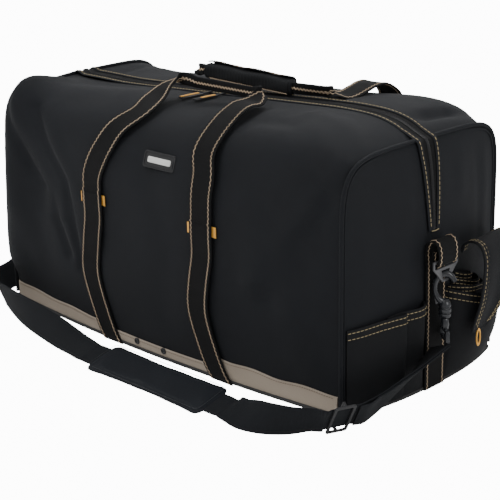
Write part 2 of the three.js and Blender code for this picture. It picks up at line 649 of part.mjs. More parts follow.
const strap = [
  ...rising(-1),
  lies(-331, -150, 0, -62, 118), lies(-295, -176, 0, -32, 108),
  lies(-270, -188, 0, -25, 98), lies(-238, -201, 0, -20, 86), lies(-197, -215, 0, -15, 68),
  lies(-143, -227, 0, -10, 48), lies(-97, -237, 2, -6, 26), lies(-70, -243, 5, -4, 17),
  onPad(-44), onPad(-34), onPad(82), onPad(198), onPad(208),
  lies(220, -248, 4, 4, 32), lies(236, -247, 1, 8, 42), lies(257, -241.5, 0, 20, 62),
  lies(279, -231, 1, 34, 84), lies(297, -217, 3, 48, 102), lies(309, -202, 5, 58, 114),
  nearGlide(-21), nearGlide(-16), nearGlide(0), nearGlide(16), nearGlide(21),
  ...rising(1).reverse(),
];
add('shoulder_strap', band(strap, 84), strapBlack);

// Padded sleeve on the straight stretch of the strap
const pad = { left: -24, right: 188, width: 62, thick: 9.5 };
const padStation = onPad(0);
const padUp = vec(1, 0, 0).cross(padStation.across);
const padFrame = frameAt(padStation.at.clone().setX((pad.left + pad.right) / 2),
  padStation.across, padUp, vec(1, 0, 0));
const padSection = rounded(pad.width, pad.thick, 3);
const channel = rounded(webbing.width + 5, webbing.thick + 1.8, 0.6);
padSection.holes.push(new THREE.Path(channel.getPoints(1)));
add('shoulder_pad', plate(padSection, pad.right - pad.left, padFrame, 3), nylon);

// Three-bar slide: the strap runs under both end bars and over the middle one
const glide = { long: 27, wide: 50, bar: 3.4, thick: 2.8, clear: 1.5 };
const glideStation = nearGlide(0);
const glideRun = vec(Math.cos(along), Math.sin(along), 0);
const glideFrame = frameAt(glideStation.at, glideRun, glideStation.across,
  glideRun.clone().cross(glideStation.across));
const glideRing = rounded(glide.long, glide.wide, 3);
glideRing.holes.push(new THREE.Path(rounded(glide.long - 2 * glide.bar,
  glide.wide - 2 * glide.bar, 1.5).getPoints(2)));
const ringHeight = glide.clear + glide.thick / 2;
let slide = plate(glideRing, glide.thick, new THREE.Matrix4().makeTranslation(0, 0, ringHeight), 3);
const box = (x, y, z, place) => new THREE.BoxGeometry(x, y, z).translate(...place);
const drop = 2 * glide.clear + glide.thick;
for (const edge of [-1, 1]) {
  const post = [0, (edge * (glide.wide - glide.bar)) / 2, glide.clear + 0.5 - drop / 2];
  slide = combine(slide, box(glide.bar, glide.bar, drop, post), 'add');
}
const underBar = [0, 0, -glide.clear - glide.thick / 2];
slide = combine(slide, box(glide.bar, glide.wide, glide.thick, underBar), 'add');
add('strap_slide', moved(slide, glideFrame), plastic);

export default model;
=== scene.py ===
# Soft garden tool bag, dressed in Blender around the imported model.
# Everything is in metres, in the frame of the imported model.
import math

import bmesh
import bpy
import numpy as np
from mathutils import Matrix, Vector


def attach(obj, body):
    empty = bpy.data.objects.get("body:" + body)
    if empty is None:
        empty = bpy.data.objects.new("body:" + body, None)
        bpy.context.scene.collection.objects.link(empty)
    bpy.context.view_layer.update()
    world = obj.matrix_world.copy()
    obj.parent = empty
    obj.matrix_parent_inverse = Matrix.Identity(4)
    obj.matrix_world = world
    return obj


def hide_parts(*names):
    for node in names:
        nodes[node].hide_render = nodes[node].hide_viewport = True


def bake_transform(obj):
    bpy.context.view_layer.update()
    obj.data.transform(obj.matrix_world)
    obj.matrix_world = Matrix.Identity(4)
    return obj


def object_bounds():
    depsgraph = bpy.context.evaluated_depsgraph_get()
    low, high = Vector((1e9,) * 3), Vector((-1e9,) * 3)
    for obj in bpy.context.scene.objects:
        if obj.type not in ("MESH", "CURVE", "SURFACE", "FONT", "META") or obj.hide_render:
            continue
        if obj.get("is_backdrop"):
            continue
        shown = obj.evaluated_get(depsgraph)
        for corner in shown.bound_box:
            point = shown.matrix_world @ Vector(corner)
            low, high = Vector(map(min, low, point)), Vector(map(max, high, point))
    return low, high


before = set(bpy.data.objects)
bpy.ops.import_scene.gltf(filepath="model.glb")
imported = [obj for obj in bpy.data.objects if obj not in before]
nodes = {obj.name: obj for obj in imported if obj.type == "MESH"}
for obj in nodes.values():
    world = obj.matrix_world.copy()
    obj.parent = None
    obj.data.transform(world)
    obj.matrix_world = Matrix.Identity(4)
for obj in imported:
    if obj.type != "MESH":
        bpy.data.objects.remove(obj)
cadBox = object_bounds()
mm = 0.001


# camera, floor and lights
view = {
    "azimuth": 44.608, "elevation": 18.669, "roll": -1.081, "distance": 1.9034,
    "target": (0.0211, 0, 0.10695), "lens": 102.453, "sensor": 36,
}


def placeCamera():
    az, el, roll = (math.radians(view[k]) for k in ("azimuth", "elevation", "roll"))
    back = Vector((math.sin(az) * math.cos(el), -math.cos(az) * math.cos(el), math.sin(el)))
    right = Vector((math.cos(az), math.sin(az), 0))
    up = back.cross(right)
    level = right * math.cos(roll) + up * math.sin(roll)
    axes = Matrix((level, back.cross(level), back)).transposed().to_4x4()
    data = bpy.data.cameras.new("camera")
    data.lens, data.sensor_width = view["lens"], view["sensor"]
    camera = bpy.data.objects.new("camera", data)
    camera.matrix_world = Matrix.Translation(Vector(view["target"]) + back * view["distance"]) @ axes
    bpy.context.scene.collection.objects.link(camera)
    bpy.context.scene.camera = camera


studio = {
    "floor": 14.0, "floorDrop": 0.0004, "paper": (0.93, 0.93, 0.93, 1), "rough": 0.9,
    "glow": 14.0, "glowShare": 0.9, "world": 0.62,
    "lamps": [  # where, what it looks at, size, power
        ((-0.9, -1.5, 3.0), (0, 0, 0.2), 1.9, 62),
        ((2.8, 0.2, 2.0), (0.2, 0, 0.15), 1.2, 29),
        ((-0.8, 2.2, 2.8), (0, 0, 0.3), 1.6, 50),
    ],
}


def lightStudio():
    bpy.ops.mesh.primitive_plane_add(size=studio["floor"], location=(0, 0, -studio["floorDrop"]))
    floor = bpy.context.object
    floor.name = "floor"
    paper = bpy.data.materials.new("paper")
    paper.use_nodes = True
    shader = paper.node_tree.nodes["Principled BSDF"]
    shader.inputs["Base Color"].default_value = studio["paper"]
    shader.inputs["Roughness"].default_value = studio["rough"]
    tree = paper.node_tree
    glow, path, share, blend = (tree.nodes.new(kind) for kind in (
        "ShaderNodeEmission", "ShaderNodeLightPath", "ShaderNodeMath", "ShaderNodeMixShader"))
    glow.inputs["Strength"].default_value = studio["glow"]
    share.operation = "MULTIPLY"
    share.inputs[1].default_value = studio["glowShare"]
    tree.links.new(path.outputs["Is Camera Ray"], share.inputs[0])
    tree.links.new(share.outputs[0], blend.inputs[0])
    tree.links.new(shader.outputs[0], blend.inputs[1])
    tree.links.new(glow.outputs[0], blend.inputs[2])
    tree.links.new(blend.outputs[0], tree.nodes["Material Output"].inputs["Surface"])
    floor.data.materials.append(paper)
    floor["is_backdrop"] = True
    world = bpy.data.worlds.new("studio")
    bpy.context.scene.world = world
    world.use_nodes = True
    sky = world.node_tree.nodes["Background"]
    sky.inputs["Color"].default_value = (1, 1, 1, 1)
    sky.inputs["Strength"].default_value = studio["world"]
    for spot, aim, size, power in studio["lamps"]:
        bpy.ops.object.light_add(type="AREA", location=spot)
        lamp = bpy.context.object
        lamp.data.size, lamp.data.energy = size, power
        lamp.rotation_euler = (Vector(aim) - Vector(spot)).to_track_quat("-Z", "Y").to_euler()


placeCamera()
lightStudio()
print("camera and studio are set")


# shader maths
class Wire:
    # a socket that values and other sockets can be reckoned with
    def __init__(self, tree, socket):
        self.tree, self.socket = tree, socket

    def maths(self, operation, other=0.0, swapped=False):
        pair = (other, self) if swapped else (self, other)
        return addNode(self.tree, "ShaderNodeMath", {"operation": operation}, {0: pair[0], 1: pair[1]})

    def __add__(self, other):
        return self.maths("ADD", other)

    def __sub__(self, other):
        return self.maths("SUBTRACT", other)

    def __mul__(self, other):
        return self.maths("MULTIPLY", other)

    def __rsub__(self, other):
        return self.maths("SUBTRACT", other, True)

    __radd__, __rmul__ = __add__, __mul__


def addNode(tree, kind, settings=None, inputs=None, output=0):
    node = tree.nodes.new(kind)
    for key, value in (settings or {}).items():
        setattr(node, key, value)
    for key, value in (inputs or {}).items():
        if isinstance(value, Wire):
            tree.links.new(value.socket, node.inputs[key])
        else:
            node.inputs[key].default_value = value
    return Wire(tree, node.outputs[output])


def mixed(tree, part, dark, light):
    return addNode(tree, "ShaderNodeMix", {"data_type": "RGBA"}, {0: part, 6: (*dark, 1), 7: (*light, 1)}, 2)


def place(tree, scale=(1, 1, 1), turn=0.0):
    # object coordinates, scaled and turned about Z
    spot = addNode(tree, "ShaderNodeTexCoord", output=3)
    return addNode(tree, "ShaderNodeMapping", None, {0: spot, 2: (0, 0, turn), 3: scale})


def laid(tree, scale=(1, 1, 1), turn=0.0):
    # the piece's own map, in metres across and along
    spot = addNode(tree, "ShaderNodeUVMap", {"uv_map": "cloth"})
    return addNode(tree, "ShaderNodeMapping", None, {0: spot, 2: (0, 0, turn), 3: scale})


def noise(tree, spot, scale, detail=3.0, roughness=0.55):
    return addNode(tree, "ShaderNodeTexNoise", None,
                   {0: spot, "Scale": scale, "Detail": detail, "Roughness": roughness})


def waves(tree, spot, scale, direction="X", distortion=0.0):
    settings = {"wave_type": "BANDS", "bands_direction": direction, "wave_profile": "SIN"}
    return addNode(tree, "ShaderNodeTexWave", settings,
                   {0: spot, "Scale": scale, "Distortion": distortion}, 1)


def ripple(pitch):
    # a wave texture's scale for one band every pitch metres
    return 2 * math.pi / (20 * pitch)


def finish(name, build, **fixed):
    # build(tree) gives the sockets that vary, fixed gives the ones that do not
    material = bpy.data.materials.new(name)
    material.use_nodes = True
    tree = material.node_tree
    shader = tree.nodes["Principled BSDF"]
    for key, value in fixed.items():
        shader.inputs[key.replace("_", " ")].default_value = value
    for key, value in build(tree).items():
        tree.links.new(value.socket, shader.inputs[key])
    return material


def bump(tree, height, depth, strength=1.0):
    return addNode(tree, "ShaderNodeBump", None,
                   {"Height": height, "Distance": depth, "Strength": strength})


def packCloth(dark, light, weave=0.55 * mm):
    def build(tree):
        spot = laid(tree)
        warp = waves(tree, spot, ripple(weave), "X", 0.4)
        weft = waves(tree, spot, ripple(weave), "Y", 0.4)
        broad = noise(tree, place(tree), 9.0)
        rub = noise(tree, place(tree), 70.0, 4)
        tone = broad * 0.6 + rub * 0.25 + warp * weft * 0.3
        return {
            "Base Color": mixed(tree, tone, dark, light),
            "Roughness": 0.66 + broad * 0.16,
            "Normal": bump(tree, warp * weft + rub * 1.3, 0.00022, 0.6),
        }
    return build


def ribbedWebbing(dark, light, pitch=1.5 * mm):
    def build(tree):
        spot = laid(tree)
        ribs = waves(tree, spot, ripple(pitch), "Y", 0.6)
        threads = waves(tree, spot, ripple(pitch * 0.5), "X", 0.3)
        fuzz = noise(tree, spot, 900.0, 2)
        tone = ribs * 0.55 + threads * 0.15 + noise(tree, place(tree), 16.0) * 0.3
        return {
            "Base Color": mixed(tree, tone, dark, light),
            "Roughness": 0.72 + fuzz * 0.18,
            "Normal": bump(tree, ribs + threads * 0.35 + fuzz * 0.2, 0.0003, 0.75),
        }
    return build


def twillCloth(dark, light, pitch=1.9 * mm):
    def build(tree):
        spot = laid(tree, turn=math.radians(-52))
        ribs = waves(tree, spot, ripple(pitch), "X", 0.5)
        grain = noise(tree, laid(tree), 1400.0, 2)
        soil = noise(tree, place(tree), 24.0, 5)
        return {
            "Base Color": mixed(tree, ribs * 0.5 + grain * 0.3 + soil * 0.25, dark, light),
            "Roughness": 0.8 + grain * 0.12,
            "Normal": bump(tree, ribs + grain * 0.4, 0.0003, 0.8),
        }
    return build


def thread(dark, light):
    def build(tree):
        twist = noise(tree, place(tree), 1800.0, 1)
        return {"Base Color": mixed(tree, twist, dark, light), "Roughness": 0.55 + twist * 0.2}
    return build


def mouldedPlastic(dark, light, grain=420.0, rough=0.3):
    def build(tree):
        fine = noise(tree, place(tree), grain, 3)
        wear = noise(tree, place(tree), 60.0, 4)
        return {
            "Base Color": mixed(tree, wear, dark, light),
            "Roughness": rough + wear * 0.16,
            "Normal": bump(tree, fine, 0.00006, 0.5),
        }
    return build


def paintedMetal(dark, light):
    def build(tree):
        fine = noise(tree, place(tree), 700.0, 3)
        wear = noise(tree, place(tree), 90.0, 5)
        return {
            "Base Color": mixed(tree, wear, dark, light),
            "Roughness": 0.34 + fine * 0.2,
            "Normal": bump(tree, fine, 0.00005, 0.4),
        }
    return build


def padCloth(dark, light):
    def build(tree):
        fine = noise(tree, place(tree), 1500.0, 2)
        broad = noise(tree, place(tree), 22.0, 4)
        weave = waves(tree, place(tree), ripple(0.9 * mm), "X", 0.5)
        return {
            "Base Color": mixed(tree, broad * 0.6 + fine * 0.3 + weave * 0.15, dark, light),
            "Roughness": 0.5 + broad * 0.18,
            "Normal": bump(tree, fine * 0.5 + weave * 0.5 + broad * 2.0, 0.0002, 0.6),
        }
    return build


sheen = {"Sheen_Weight": 0.02, "Sheen_Roughness": 0.5, "Specular_IOR_Level": 0.16}
nylon = finish("nylon", packCloth((0.0042, 0.0047, 0.0061), (0.0118, 0.0133, 0.0166)), **sheen)
lining = finish("pocket nylon", packCloth((0.0045, 0.0047, 0.0055), (0.0115, 0.0122, 0.014)), **sheen)
webbingBlack = finish("black webbing",
                      ribbedWebbing((0.0015, 0.0015, 0.0017), (0.0058, 0.0059, 0.0064)), **sheen)
strapNavy = finish("strap webbing", ribbedWebbing((0.0036, 0.004, 0.0048), (0.0118, 0.0136, 0.017)), **sheen)
tanTwill = finish("tan twill", twillCloth((0.23, 0.185, 0.14), (0.50, 0.425, 0.345)))
tanThread = finish("tan thread", thread((0.42, 0.30, 0.19), (0.68, 0.53, 0.37)))
oliveThread = finish("olive thread", thread((0.26, 0.20, 0.10), (0.46, 0.37, 0.21)))
amber = finish("amber tape", mouldedPlastic((0.80, 0.36, 0.05), (0.95, 0.52, 0.10), 900.0, 0.5))
glossBlack = finish("gloss plastic", mouldedPlastic((0.008, 0.009, 0.011), (0.02, 0.022, 0.026), 300.0, 0.16))
satinBlack = finish("satin plastic",
                    mouldedPlastic((0.006, 0.006, 0.007), (0.014, 0.014, 0.016), 500.0, 0.42))
greyPaint = finish("grey paint", paintedMetal((0.07, 0.07, 0.075), (0.13, 0.13, 0.135)), Metallic=0.5)
softRubber = finish("soft rubber",
                    mouldedPlastic((0.006, 0.0065, 0.0075), (0.013, 0.0135, 0.015), 800.0, 0.5))
bindingTwill = finish("binding", twillCloth((0.006, 0.006, 0.0065), (0.05, 0.05, 0.05), 1.6 * mm))
darkThread = finish("dark thread", thread((0.10, 0.075, 0.05), (0.2, 0.16, 0.12)))
zipCloth = finish("zip tape",
                  ribbedWebbing((0.002, 0.002, 0.0022), (0.008, 0.008, 0.0085), 0.8 * mm), **sheen)
gripCloth = finish("grip cloth",
                   ribbedWebbing((0.005, 0.0055, 0.0062), (0.017, 0.018, 0.020), 2.6 * mm), **sheen)
darkMetal = finish("dark metal", paintedMetal((0.02, 0.02, 0.022), (0.05, 0.05, 0.053)), Metallic=0.6)
paleRubber = finish("pale rubber", mouldedPlastic((0.62, 0.62, 0.60), (0.78, 0.78, 0.76), 800.0, 0.5))
navyThread = finish("navy thread", thread((0.008, 0.009, 0.011), (0.02, 0.023, 0.028)))
padNylon = finish("pad nylon", padCloth((0.004, 0.005, 0.0072), (0.010, 0.0122, 0.0166)), **sheen)
print("finishes are mixed")


# mesh helpers: shapes are reckoned in millimetres and made metres in makeMesh
def unit(rows):
    rows = np.asarray(rows, float)
    return rows / np.maximum(np.linalg.norm(rows, axis=-1, keepdims=True), 1e-9)


def makeMesh(name, spots, faces, material, laidOut=None, crease=42):
    spots = np.asarray(spots, float) * mm
    fans = np.array([(f[0], f[k], f[k + 1]) for f in faces for k in range(1, len(f) - 1)])
    a, b, c = (spots[fans[:, k]] for k in range(3))
    if np.einsum("ij,ij->", a, np.cross(b, c)) < 0:
        faces = [tuple(reversed(f)) for f in faces]
    mesh = bpy.data.meshes.new(name)
    mesh.from_pydata(spots.tolist(), [], faces)
    if laidOut is not None:
        layer = mesh.uv_layers.new(name="cloth")
        corner = np.empty(len(mesh.loops), int)
        mesh.loops.foreach_get("vertex_index", corner)
        layer.data.foreach_set("uv", (np.asarray(laidOut, float) * mm)[corner].ravel())
    mesh.materials.append(material)
    mesh.shade_smooth()
    mesh.set_sharp_from_angle(angle=math.radians(crease))
    piece = bpy.data.objects.new(name, mesh)
    bpy.context.scene.collection.objects.link(piece)
    return piece


def dress(piece, body, slot, *replaced):
    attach(piece, body)
    if replaced:
        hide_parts(*replaced)
    return piece


def hoops(last, around, first=0, capped=True):
    # the faces between rings of spots laid one after another, and over both ends
    faces = [(start + k, start + (k + 1) % around, start + around + (k + 1) % around, start + around + k)
             for start in range(first, last - around, around) for k in range(around)]
    if capped:
        faces += [tuple(range(first, first + around))[::-1], tuple(range(last - around, last))]
    return faces


def normalsOf(grid):
    down, along = np.gradient(grid, axis=0), np.gradient(grid, axis=1)
    return unit(np.cross(along, down))


def sheet(name, outer, inner, laidOut, material):
    # two layers of a grid closed round their rim
    rows, cols = outer.shape[:2]
    layer = rows * cols
    faces = []
    for j in range(rows - 1):
        for i in range(cols - 1):
            a = j * cols + i
            faces.append((a, a + 1, a + 1 + cols, a + cols))
            faces.append((layer + a, layer + a + cols, layer + a + 1 + cols, layer + a + 1))
    order = np.arange(layer).reshape(rows, cols)
    rim = [*order[0, :-1], *order[:-1, -1], *order[-1, :0:-1], *order[:0:-1, 0]]
    rim = [int(k) for k in rim]
    for a, b in zip(rim, rim[1:] + rim[:1]):
        faces.append((b, a, layer + a, layer + b))
    spots = np.concatenate([outer.reshape(-1, 3), inner.reshape(-1, 3)])
    return makeMesh(name, spots, faces, material, np.concatenate([laidOut.reshape(-1, 2)] * 2))


def smoothLine(points):
    # the centripetal curve through points, from 0 to 1
    spots = [np.array(p, float) for p in points]
    last = len(spots) - 1

    def at(part):
        spot = min(max(part, 0.0), 1.0) * last
        i = min(int(spot), last - 1)
        w = spot - i
        p1, p2 = spots[i], spots[i + 1]
        p0 = spots[i - 1] if i > 0 else 2 * p1 - p2
        p3 = spots[i + 2] if i + 2 <= last else 2 * p2 - p1
        d0, d1, d2 = (float(np.dot(q - p, q - p)) ** 0.25 for p, q in ((p0, p1), (p1, p2), (p2, p3)))
        d1 = d1 if d1 > 1e-4 else 1.0
        d0, d2 = (d if d > 1e-4 else d1 for d in (d0, d2))
        t1 = ((p1 - p0) / d0 - (p2 - p0) / (d0 + d1) + (p2 - p1) / d1) * d1
        t2 = ((p2 - p1) / d1 - (p3 - p1) / (d1 + d2) + (p3 - p2) / d2) * d1
        return p1 + t1 * w + (-3 * p1 + 3 * p2 - 2 * t1 - t2) * w ** 2 + (2 * p1 - 2 * p2 + t1 + t2) * w ** 3
    return at


class Route:
    # the line of a band: where it runs, and the directions of its width and its face
    def __init__(self, centres, wides, deeps, widths, thicks):
        self.centres = np.asarray(centres, float)
        self.wides, self.deeps = unit(wides), unit(deeps)
        count = len(self.centres)
        self.widths = np.full(count, widths) if np.isscalar(widths) else np.asarray(widths, float)
        self.thicks = np.full(count, thicks) if np.isscalar(thicks) else np.asarray(thicks, float)
        steps = np.linalg.norm(np.diff(self.centres, axis=0), axis=1)
        self.runs = np.concatenate([[0], np.cumsum(steps)])
        self.length = self.runs[-1]

    def at(self, run, across=0.0, out=0.0):
        # out is measured from the face, on the side of its sign
        pick = [np.interp(run, self.runs, column)
                for source in (self.centres, self.wides, self.deeps) for column in source.T]
        centre, wide, deep = np.array(pick).reshape(3, 3)
        half = np.interp(run, self.runs, self.thicks) / 2
        return centre + unit(wide) * across + unit(deep) * (out + math.copysign(half, out) if out else 0)

    def facing(self, outward, index=0):
        # the side of the band, 1 or -1, that looks outward
        return 1 if np.dot(self.deeps[index], outward) > 0 else -1

    def edge(self, run, side, inset):
        # a narrow, folded stretch brings both edges to its middle
        wide = np.interp(run, self.runs, self.widths)
        return side * max(0.5, wide / 2 - inset - max(0.0, 26 - wide) * 0.35)


def lineRoute(points, normals, widths=1.0, thicks=0.0):
    points = np.asarray(points, float)
    tangents = unit(np.gradient(points, axis=0))
    normals = unit(normals)
    wides = np.cross(normals, tangents)
    return Route(points, wides, np.cross(tangents, wides), widths, thicks)


def stationRoute(stations, steps):
    # stations are (place, direction of the width, width, thickness)
    line, across = smoothLine([s[0] for s in stations]), smoothLine([s[1] for s in stations])
    sizes = np.array([[s[2], s[3]] for s in stations], float)
    last = len(stations) - 1
    centres, wides, deeps, size = [], [], [], []
    for i in range(steps + 1):
        part = i / steps
        k = min(int(part * last), last - 1)
        tangent = unit(line(part + 1e-4) - line(part - 1e-4))
        wide = across(part)
        wide = unit(wide - tangent * np.dot(wide, tangent))
        centres.append(line(part))
        wides.append(wide)
        deeps.append(np.cross(tangent, wide))
        size.append(sizes[k] + (sizes[k + 1] - sizes[k]) * (part * last - k))
    size = np.array(size)
    return Route(centres, wides, deeps, size[:, 0], size[:, 1])


def webSection(width, thick):
    # round edges and flat faces, as (across, deep)
    flat = width / 2 - thick / 2
    turns = [math.radians(t) for t in (-90, -45, 0, 45, 90)]
    right = [(flat + thick / 2 * math.cos(t), thick / 2 * math.sin(t)) for t in turns]
    top = [(flat * part, thick / 2) for part in (0.6, 0.0, -0.6)]
    left = [(-a, -b) for a, b in right]
    return right + top + left + [(-a, -b) for a, b in top]


def bandPiece(name, route, material, pucker=0.0):
    spots, laidOut = [], []
    for i, run in enumerate(route.runs):
        lift = pucker * math.sin(run / 3.1) * math.sin(run / 17.0 + 1)
        section = webSection(route.widths[i], route.thicks[i])
        for a, b in section:
            spots.append(route.centres[i] + route.wides[i] * a + route.deeps[i] * (b + lift))
            laidOut.append((a, run))
    return makeMesh(name, spots, hoops(len(spots), len(section)), material, laidOut)


def tubes(name, lines, material, radius, sides=5):
    # closed tubes along open lines
    spots, laidOut, faces = [], [], []
    for line in lines:
        line = np.asarray(line, float)
        tangents = unit(np.gradient(line, axis=0))
        across = np.cross(tangents[0], (0.31, 0.17, 0.93))
        run = 0.0
        for i, (spot, tangent) in enumerate(zip(line, tangents)):
            across = unit(across - tangent * np.dot(across, tangent))
            other = np.cross(tangent, across)
            run += np.linalg.norm(spot - line[i - 1]) if i else 0.0
            for k in range(sides):
                turn = 2 * math.pi * k / sides
                spots.append(spot + radius * (across * math.cos(turn) + other * math.sin(turn)))
                laidOut.append((radius * turn, run))
        faces += hoops(len(spots), sides, len(spots) - len(line) * sides)
    return makeMesh(name, spots, faces, material, laidOut, 60)


def zigzag(route, side, face, inset=4.2, pitch=5.4, reach=1.1, start=0.0, end=None):
    # a thread that swings to and fro near one edge of a band
    end = route.length if end is None else end
    count = max(2, int((end - start) / pitch * 2))
    line = []
    for i in range(count + 1):
        run = start + (end - start) * i / count
        line.append(route.at(run, route.edge(run, side, inset) + reach * (-1) ** i, face * 0.18))
    return line


def running(route, across, face, stitch=3.4, space=1.7, start=0.0, end=None):
    # separate stitches that sink in at their ends
    end = route.length if end is None else end
    lines, run = [], start
    while run + stitch < end:
        lines.append([route.at(run + stitch * part, across, face * lift)
                      for part, lift in ((0, 0.02), (0.2, 0.3), (0.8, 0.3), (1, 0.02))])
        run += stitch + space
    return lines


def sew(name, lines, material, radius=0.46, body="bag"):
    return dress(tubes(name, lines, material, radius), body, "tan_trim")


webbing = {"width": 38, "thick": 2}


# shape of the bag, in millimetres
bag = {
    "length": 610, "depth": 288, "endHeight": 306, "waist": 150, "bellyBow": 24, "footBow": 18,
    "endBow": 20, "crown": 12, "topSlope": 0.06, "cloth": 2.5, "seam": 3.3, "endFace": 306.9,
}
halfLength, halfDepth = bag["length"] / 2, bag["depth"] / 2


def nearEnd(x, power):
    return 1 - min(1.0, abs(x / halfLength)) ** power


def topAt(x):
    return bag["endHeight"] + nearEnd(x, 8) * (bag["crown"] + bag["topSlope"] * x)


def footAt(x):
    return halfDepth + bag["footBow"] * nearEnd(x, 2)


def waistAt(x):
    return halfDepth + bag["bellyBow"] * nearEnd(x, 2.5)


def squareness(x):
    return 4 + 3 * (x / halfLength) ** 2


def sideAt(x, z):
    if z < bag["waist"]:
        rise = math.sin(math.pi / 2 * z / bag["waist"])
        return footAt(x) + (waistAt(x) - footAt(x)) * rise
    rise = (z - bag["waist"]) / (topAt(x) - bag["waist"])
    return waistAt(x) * max(0, 1 - rise ** squareness(x)) ** (1 / squareness(x))


def roofAt(x, y):
    n = squareness(x)
    return bag["waist"] + (topAt(x) - bag["waist"]) * (1 - abs(y / waistAt(x)) ** n) ** (1 / n)


def profile(x, s, toMiddle):
    straight = 0.3
    if s < straight:
        z = bag["seam"] + (bag["waist"] - bag["seam"]) * s / straight
        return sideAt(x, z), z
    n = squareness(x)
    last = math.acos((toMiddle / waistAt(x)) ** (n / 2))
    turn = last * (s - straight) / (1 - straight)
    return (waistAt(x) * math.cos(turn) ** (2 / n),
            bag["waist"] + (topAt(x) - bag["waist"]) * math.sin(turn) ** (2 / n))


def endBulge(y, z):
    return (bag["endBow"] * max(0, 1 - abs(y / halfDepth) ** 2.5)
            * math.sqrt(max(0, 1 - (max(z, 0) / bag["endHeight"]) ** 3)))


# folds of the cloth: line, height (a valley is below zero), width
frontFolds = [
    ([(-296, -120, 300), (-285, -141, 274), (-241, -154, 212), (-192, -160, 164), (-161, -162, 103)],
     -5.0, 9),
    ([(-262, -146, 282), (-212, -158, 214), (-170, -162, 160)], 3.4, 15),
    ([(-240, -140, 286), (-214, -150, 262), (-158, -163, 206), (-146, -165, 150), (-134, -164, 90)], -4.6, 8),
    ([(-218, -140, 292), (-176, -158, 238), (-138, -165, 196)], 2.6, 16),
    ([(-300, -140, 214), (-262, -152, 150), (-236, -156, 84)], 3.0, 20),
    ([(300, -130, 296), (262, -148, 240), (227, -156, 199), (179, -161, 142)], 3.2, 15),
    ([(290, -138, 262), (246, -152, 196), (206, -160, 128)], -3.2, 17),
    ([(150, -100, 322), (196, -104, 322), (250, -130, 300), (292, -142, 262)], -3.4, 15),
    ([(190, -60, 330), (244, -70, 326), (292, -96, 306)], 2.6, 16),
    ([(170, -163, 240), (230, -157, 120), (262, -150, 50)], 2.2, 26),
    ([(20, -166, 236), (40, -167, 150), (30, -166, 70)], -1.8, 26),
]
backFolds = [
    ([(272, 26, 320), (279, 84, 316), (283, 134, 286)], -9.0, 12),
    ([(-276, 26, 300), (-279, 84, 298), (-283, 134, 276)], -4.0, 12),
]
bulges = [  # the upper front corner of the left end puffs out past its piping
    ([(-284, -152, 78), (-288, -150, 176), (-287, -150, 262), (-286, -132, 292)], 19.0, 36),
    ([(-286, -120, 296), (-280, -70, 306)], 9.0, 26),
    ([(-262, -100, 304), (-200, -88, 312), (-130, -78, 314)], 6.0, 34),
]
endFolds = [
    ([(322, 116, 292), (322, 122, 230), (328, 118, 150)], 2.6, 10),
    ([(322, 96, 286), (324, 104, 222), (330, 100, 150)], -2.4, 9),
    ([(322, 60, 296), (326, 62, 240)], 1.6, 14),
    ([(326, -96, 286), (330, -84, 200), (330, -92, 130)], -1.6, 20),
    ([(324, -44, 292), (330, -40, 226)], 1.4, 16),
]


def ridges(spots, folds):
    total = np.zeros(len(spots))
    for line, height, width in folds:
        nearest = np.full(len(spots), 1e9)
        for a, b in zip(line, line[1:]):
            start, run = np.array(a, float), np.array(b, float) - np.array(a, float)
            part = np.clip((spots - start) @ run / (run @ run), 0, 1)
            nearest = np.minimum(nearest, np.linalg.norm(spots - start - part[:, None] * run, axis=1))
        total += height * np.exp(-(nearest / width) ** 2)
    return total


def swell(spots):
    x, y, z = spots.T
    return (1.1 * np.sin(x / 41 + z / 63) * np.sin(z / 47 - x / 97 + 0.8)
            + 0.7 * np.sin(x / 23 - y / 31 + 2) * np.sin(z / 29 + y / 37))


def ramp(value, start, width):
    return np.clip((value - start) / width, 0, 1)


def sideDrape(spots, face):
    # how far the front (-1) or back (1) stands off its plain shape
    spots = np.atleast_2d(spots)
    seen = spots * (1, -face, 1) * (1 if face < 0 else -1, 1, 1)
    inward = halfLength - np.abs(spots[:, 0])
    calm = ramp(spots[:, 2], 0, 60) * ramp(inward, 0, 26) * ramp(np.abs(spots[:, 1]), 16, 26)
    if face > 0:
        return calm * (ridges(seen, frontFolds) + swell(spots) + ridges(spots, backFolds))
    lift = ramp(inward, -1, 9) * ramp(-spots[:, 1], 20, 40)
    return calm * (ridges(seen, frontFolds) + swell(spots)) + lift * ridges(spots, bulges)


def endDrape(spots):
    spots = np.atleast_2d(spots) * 1.0
    spots[:, 0] = np.abs(spots[:, 0])
    out, z = np.abs(spots[:, 1]), spots[:, 2]
    calm = ramp(-out, -halfDepth, 20) * ramp(-z, -300, 30) * ramp(z, 0, 40) * ramp(out, 18, 22)
    return calm * (ridges(spots, endFolds) + 0.7 * swell(spots))


sag = {"left": (236, 62), "up": (100, 110), "forward": (30, 70), "shift": (5, 4, -6)}


def slump(spots):
    # the upper front corner of the left end sinks behind the bulge
    x, y, z = np.moveaxis(spots, -1, 0)
    share = ramp(-x, *sag["left"]) * ramp(z, *sag["up"]) * ramp(-y, *sag["forward"])
    return spots + share[..., None] * np.array(sag["shift"])


def onSide(x, z, off, face):
    lean = sideAt(x, z + 0.5) - sideAt(x, z - 0.5)
    normal = unit([0, face, -lean])
    spot = np.array([x, face * sideAt(x, z), z])
    return spot + normal * (off + sideDrape(spot, face)[0] * (0.5 if off > 2 else 1))


def sideNormal(x, z, face):
    return unit([0, face, -(sideAt(x, z + 0.5) - sideAt(x, z - 0.5))])


def onEnd(y, z, off, side=1):
    spot = np.array([bag["endFace"] + endBulge(y, z), y, z])
    return (spot + np.array([off + endDrape(spot)[0], 0, 0])) * (side, 1, 1)


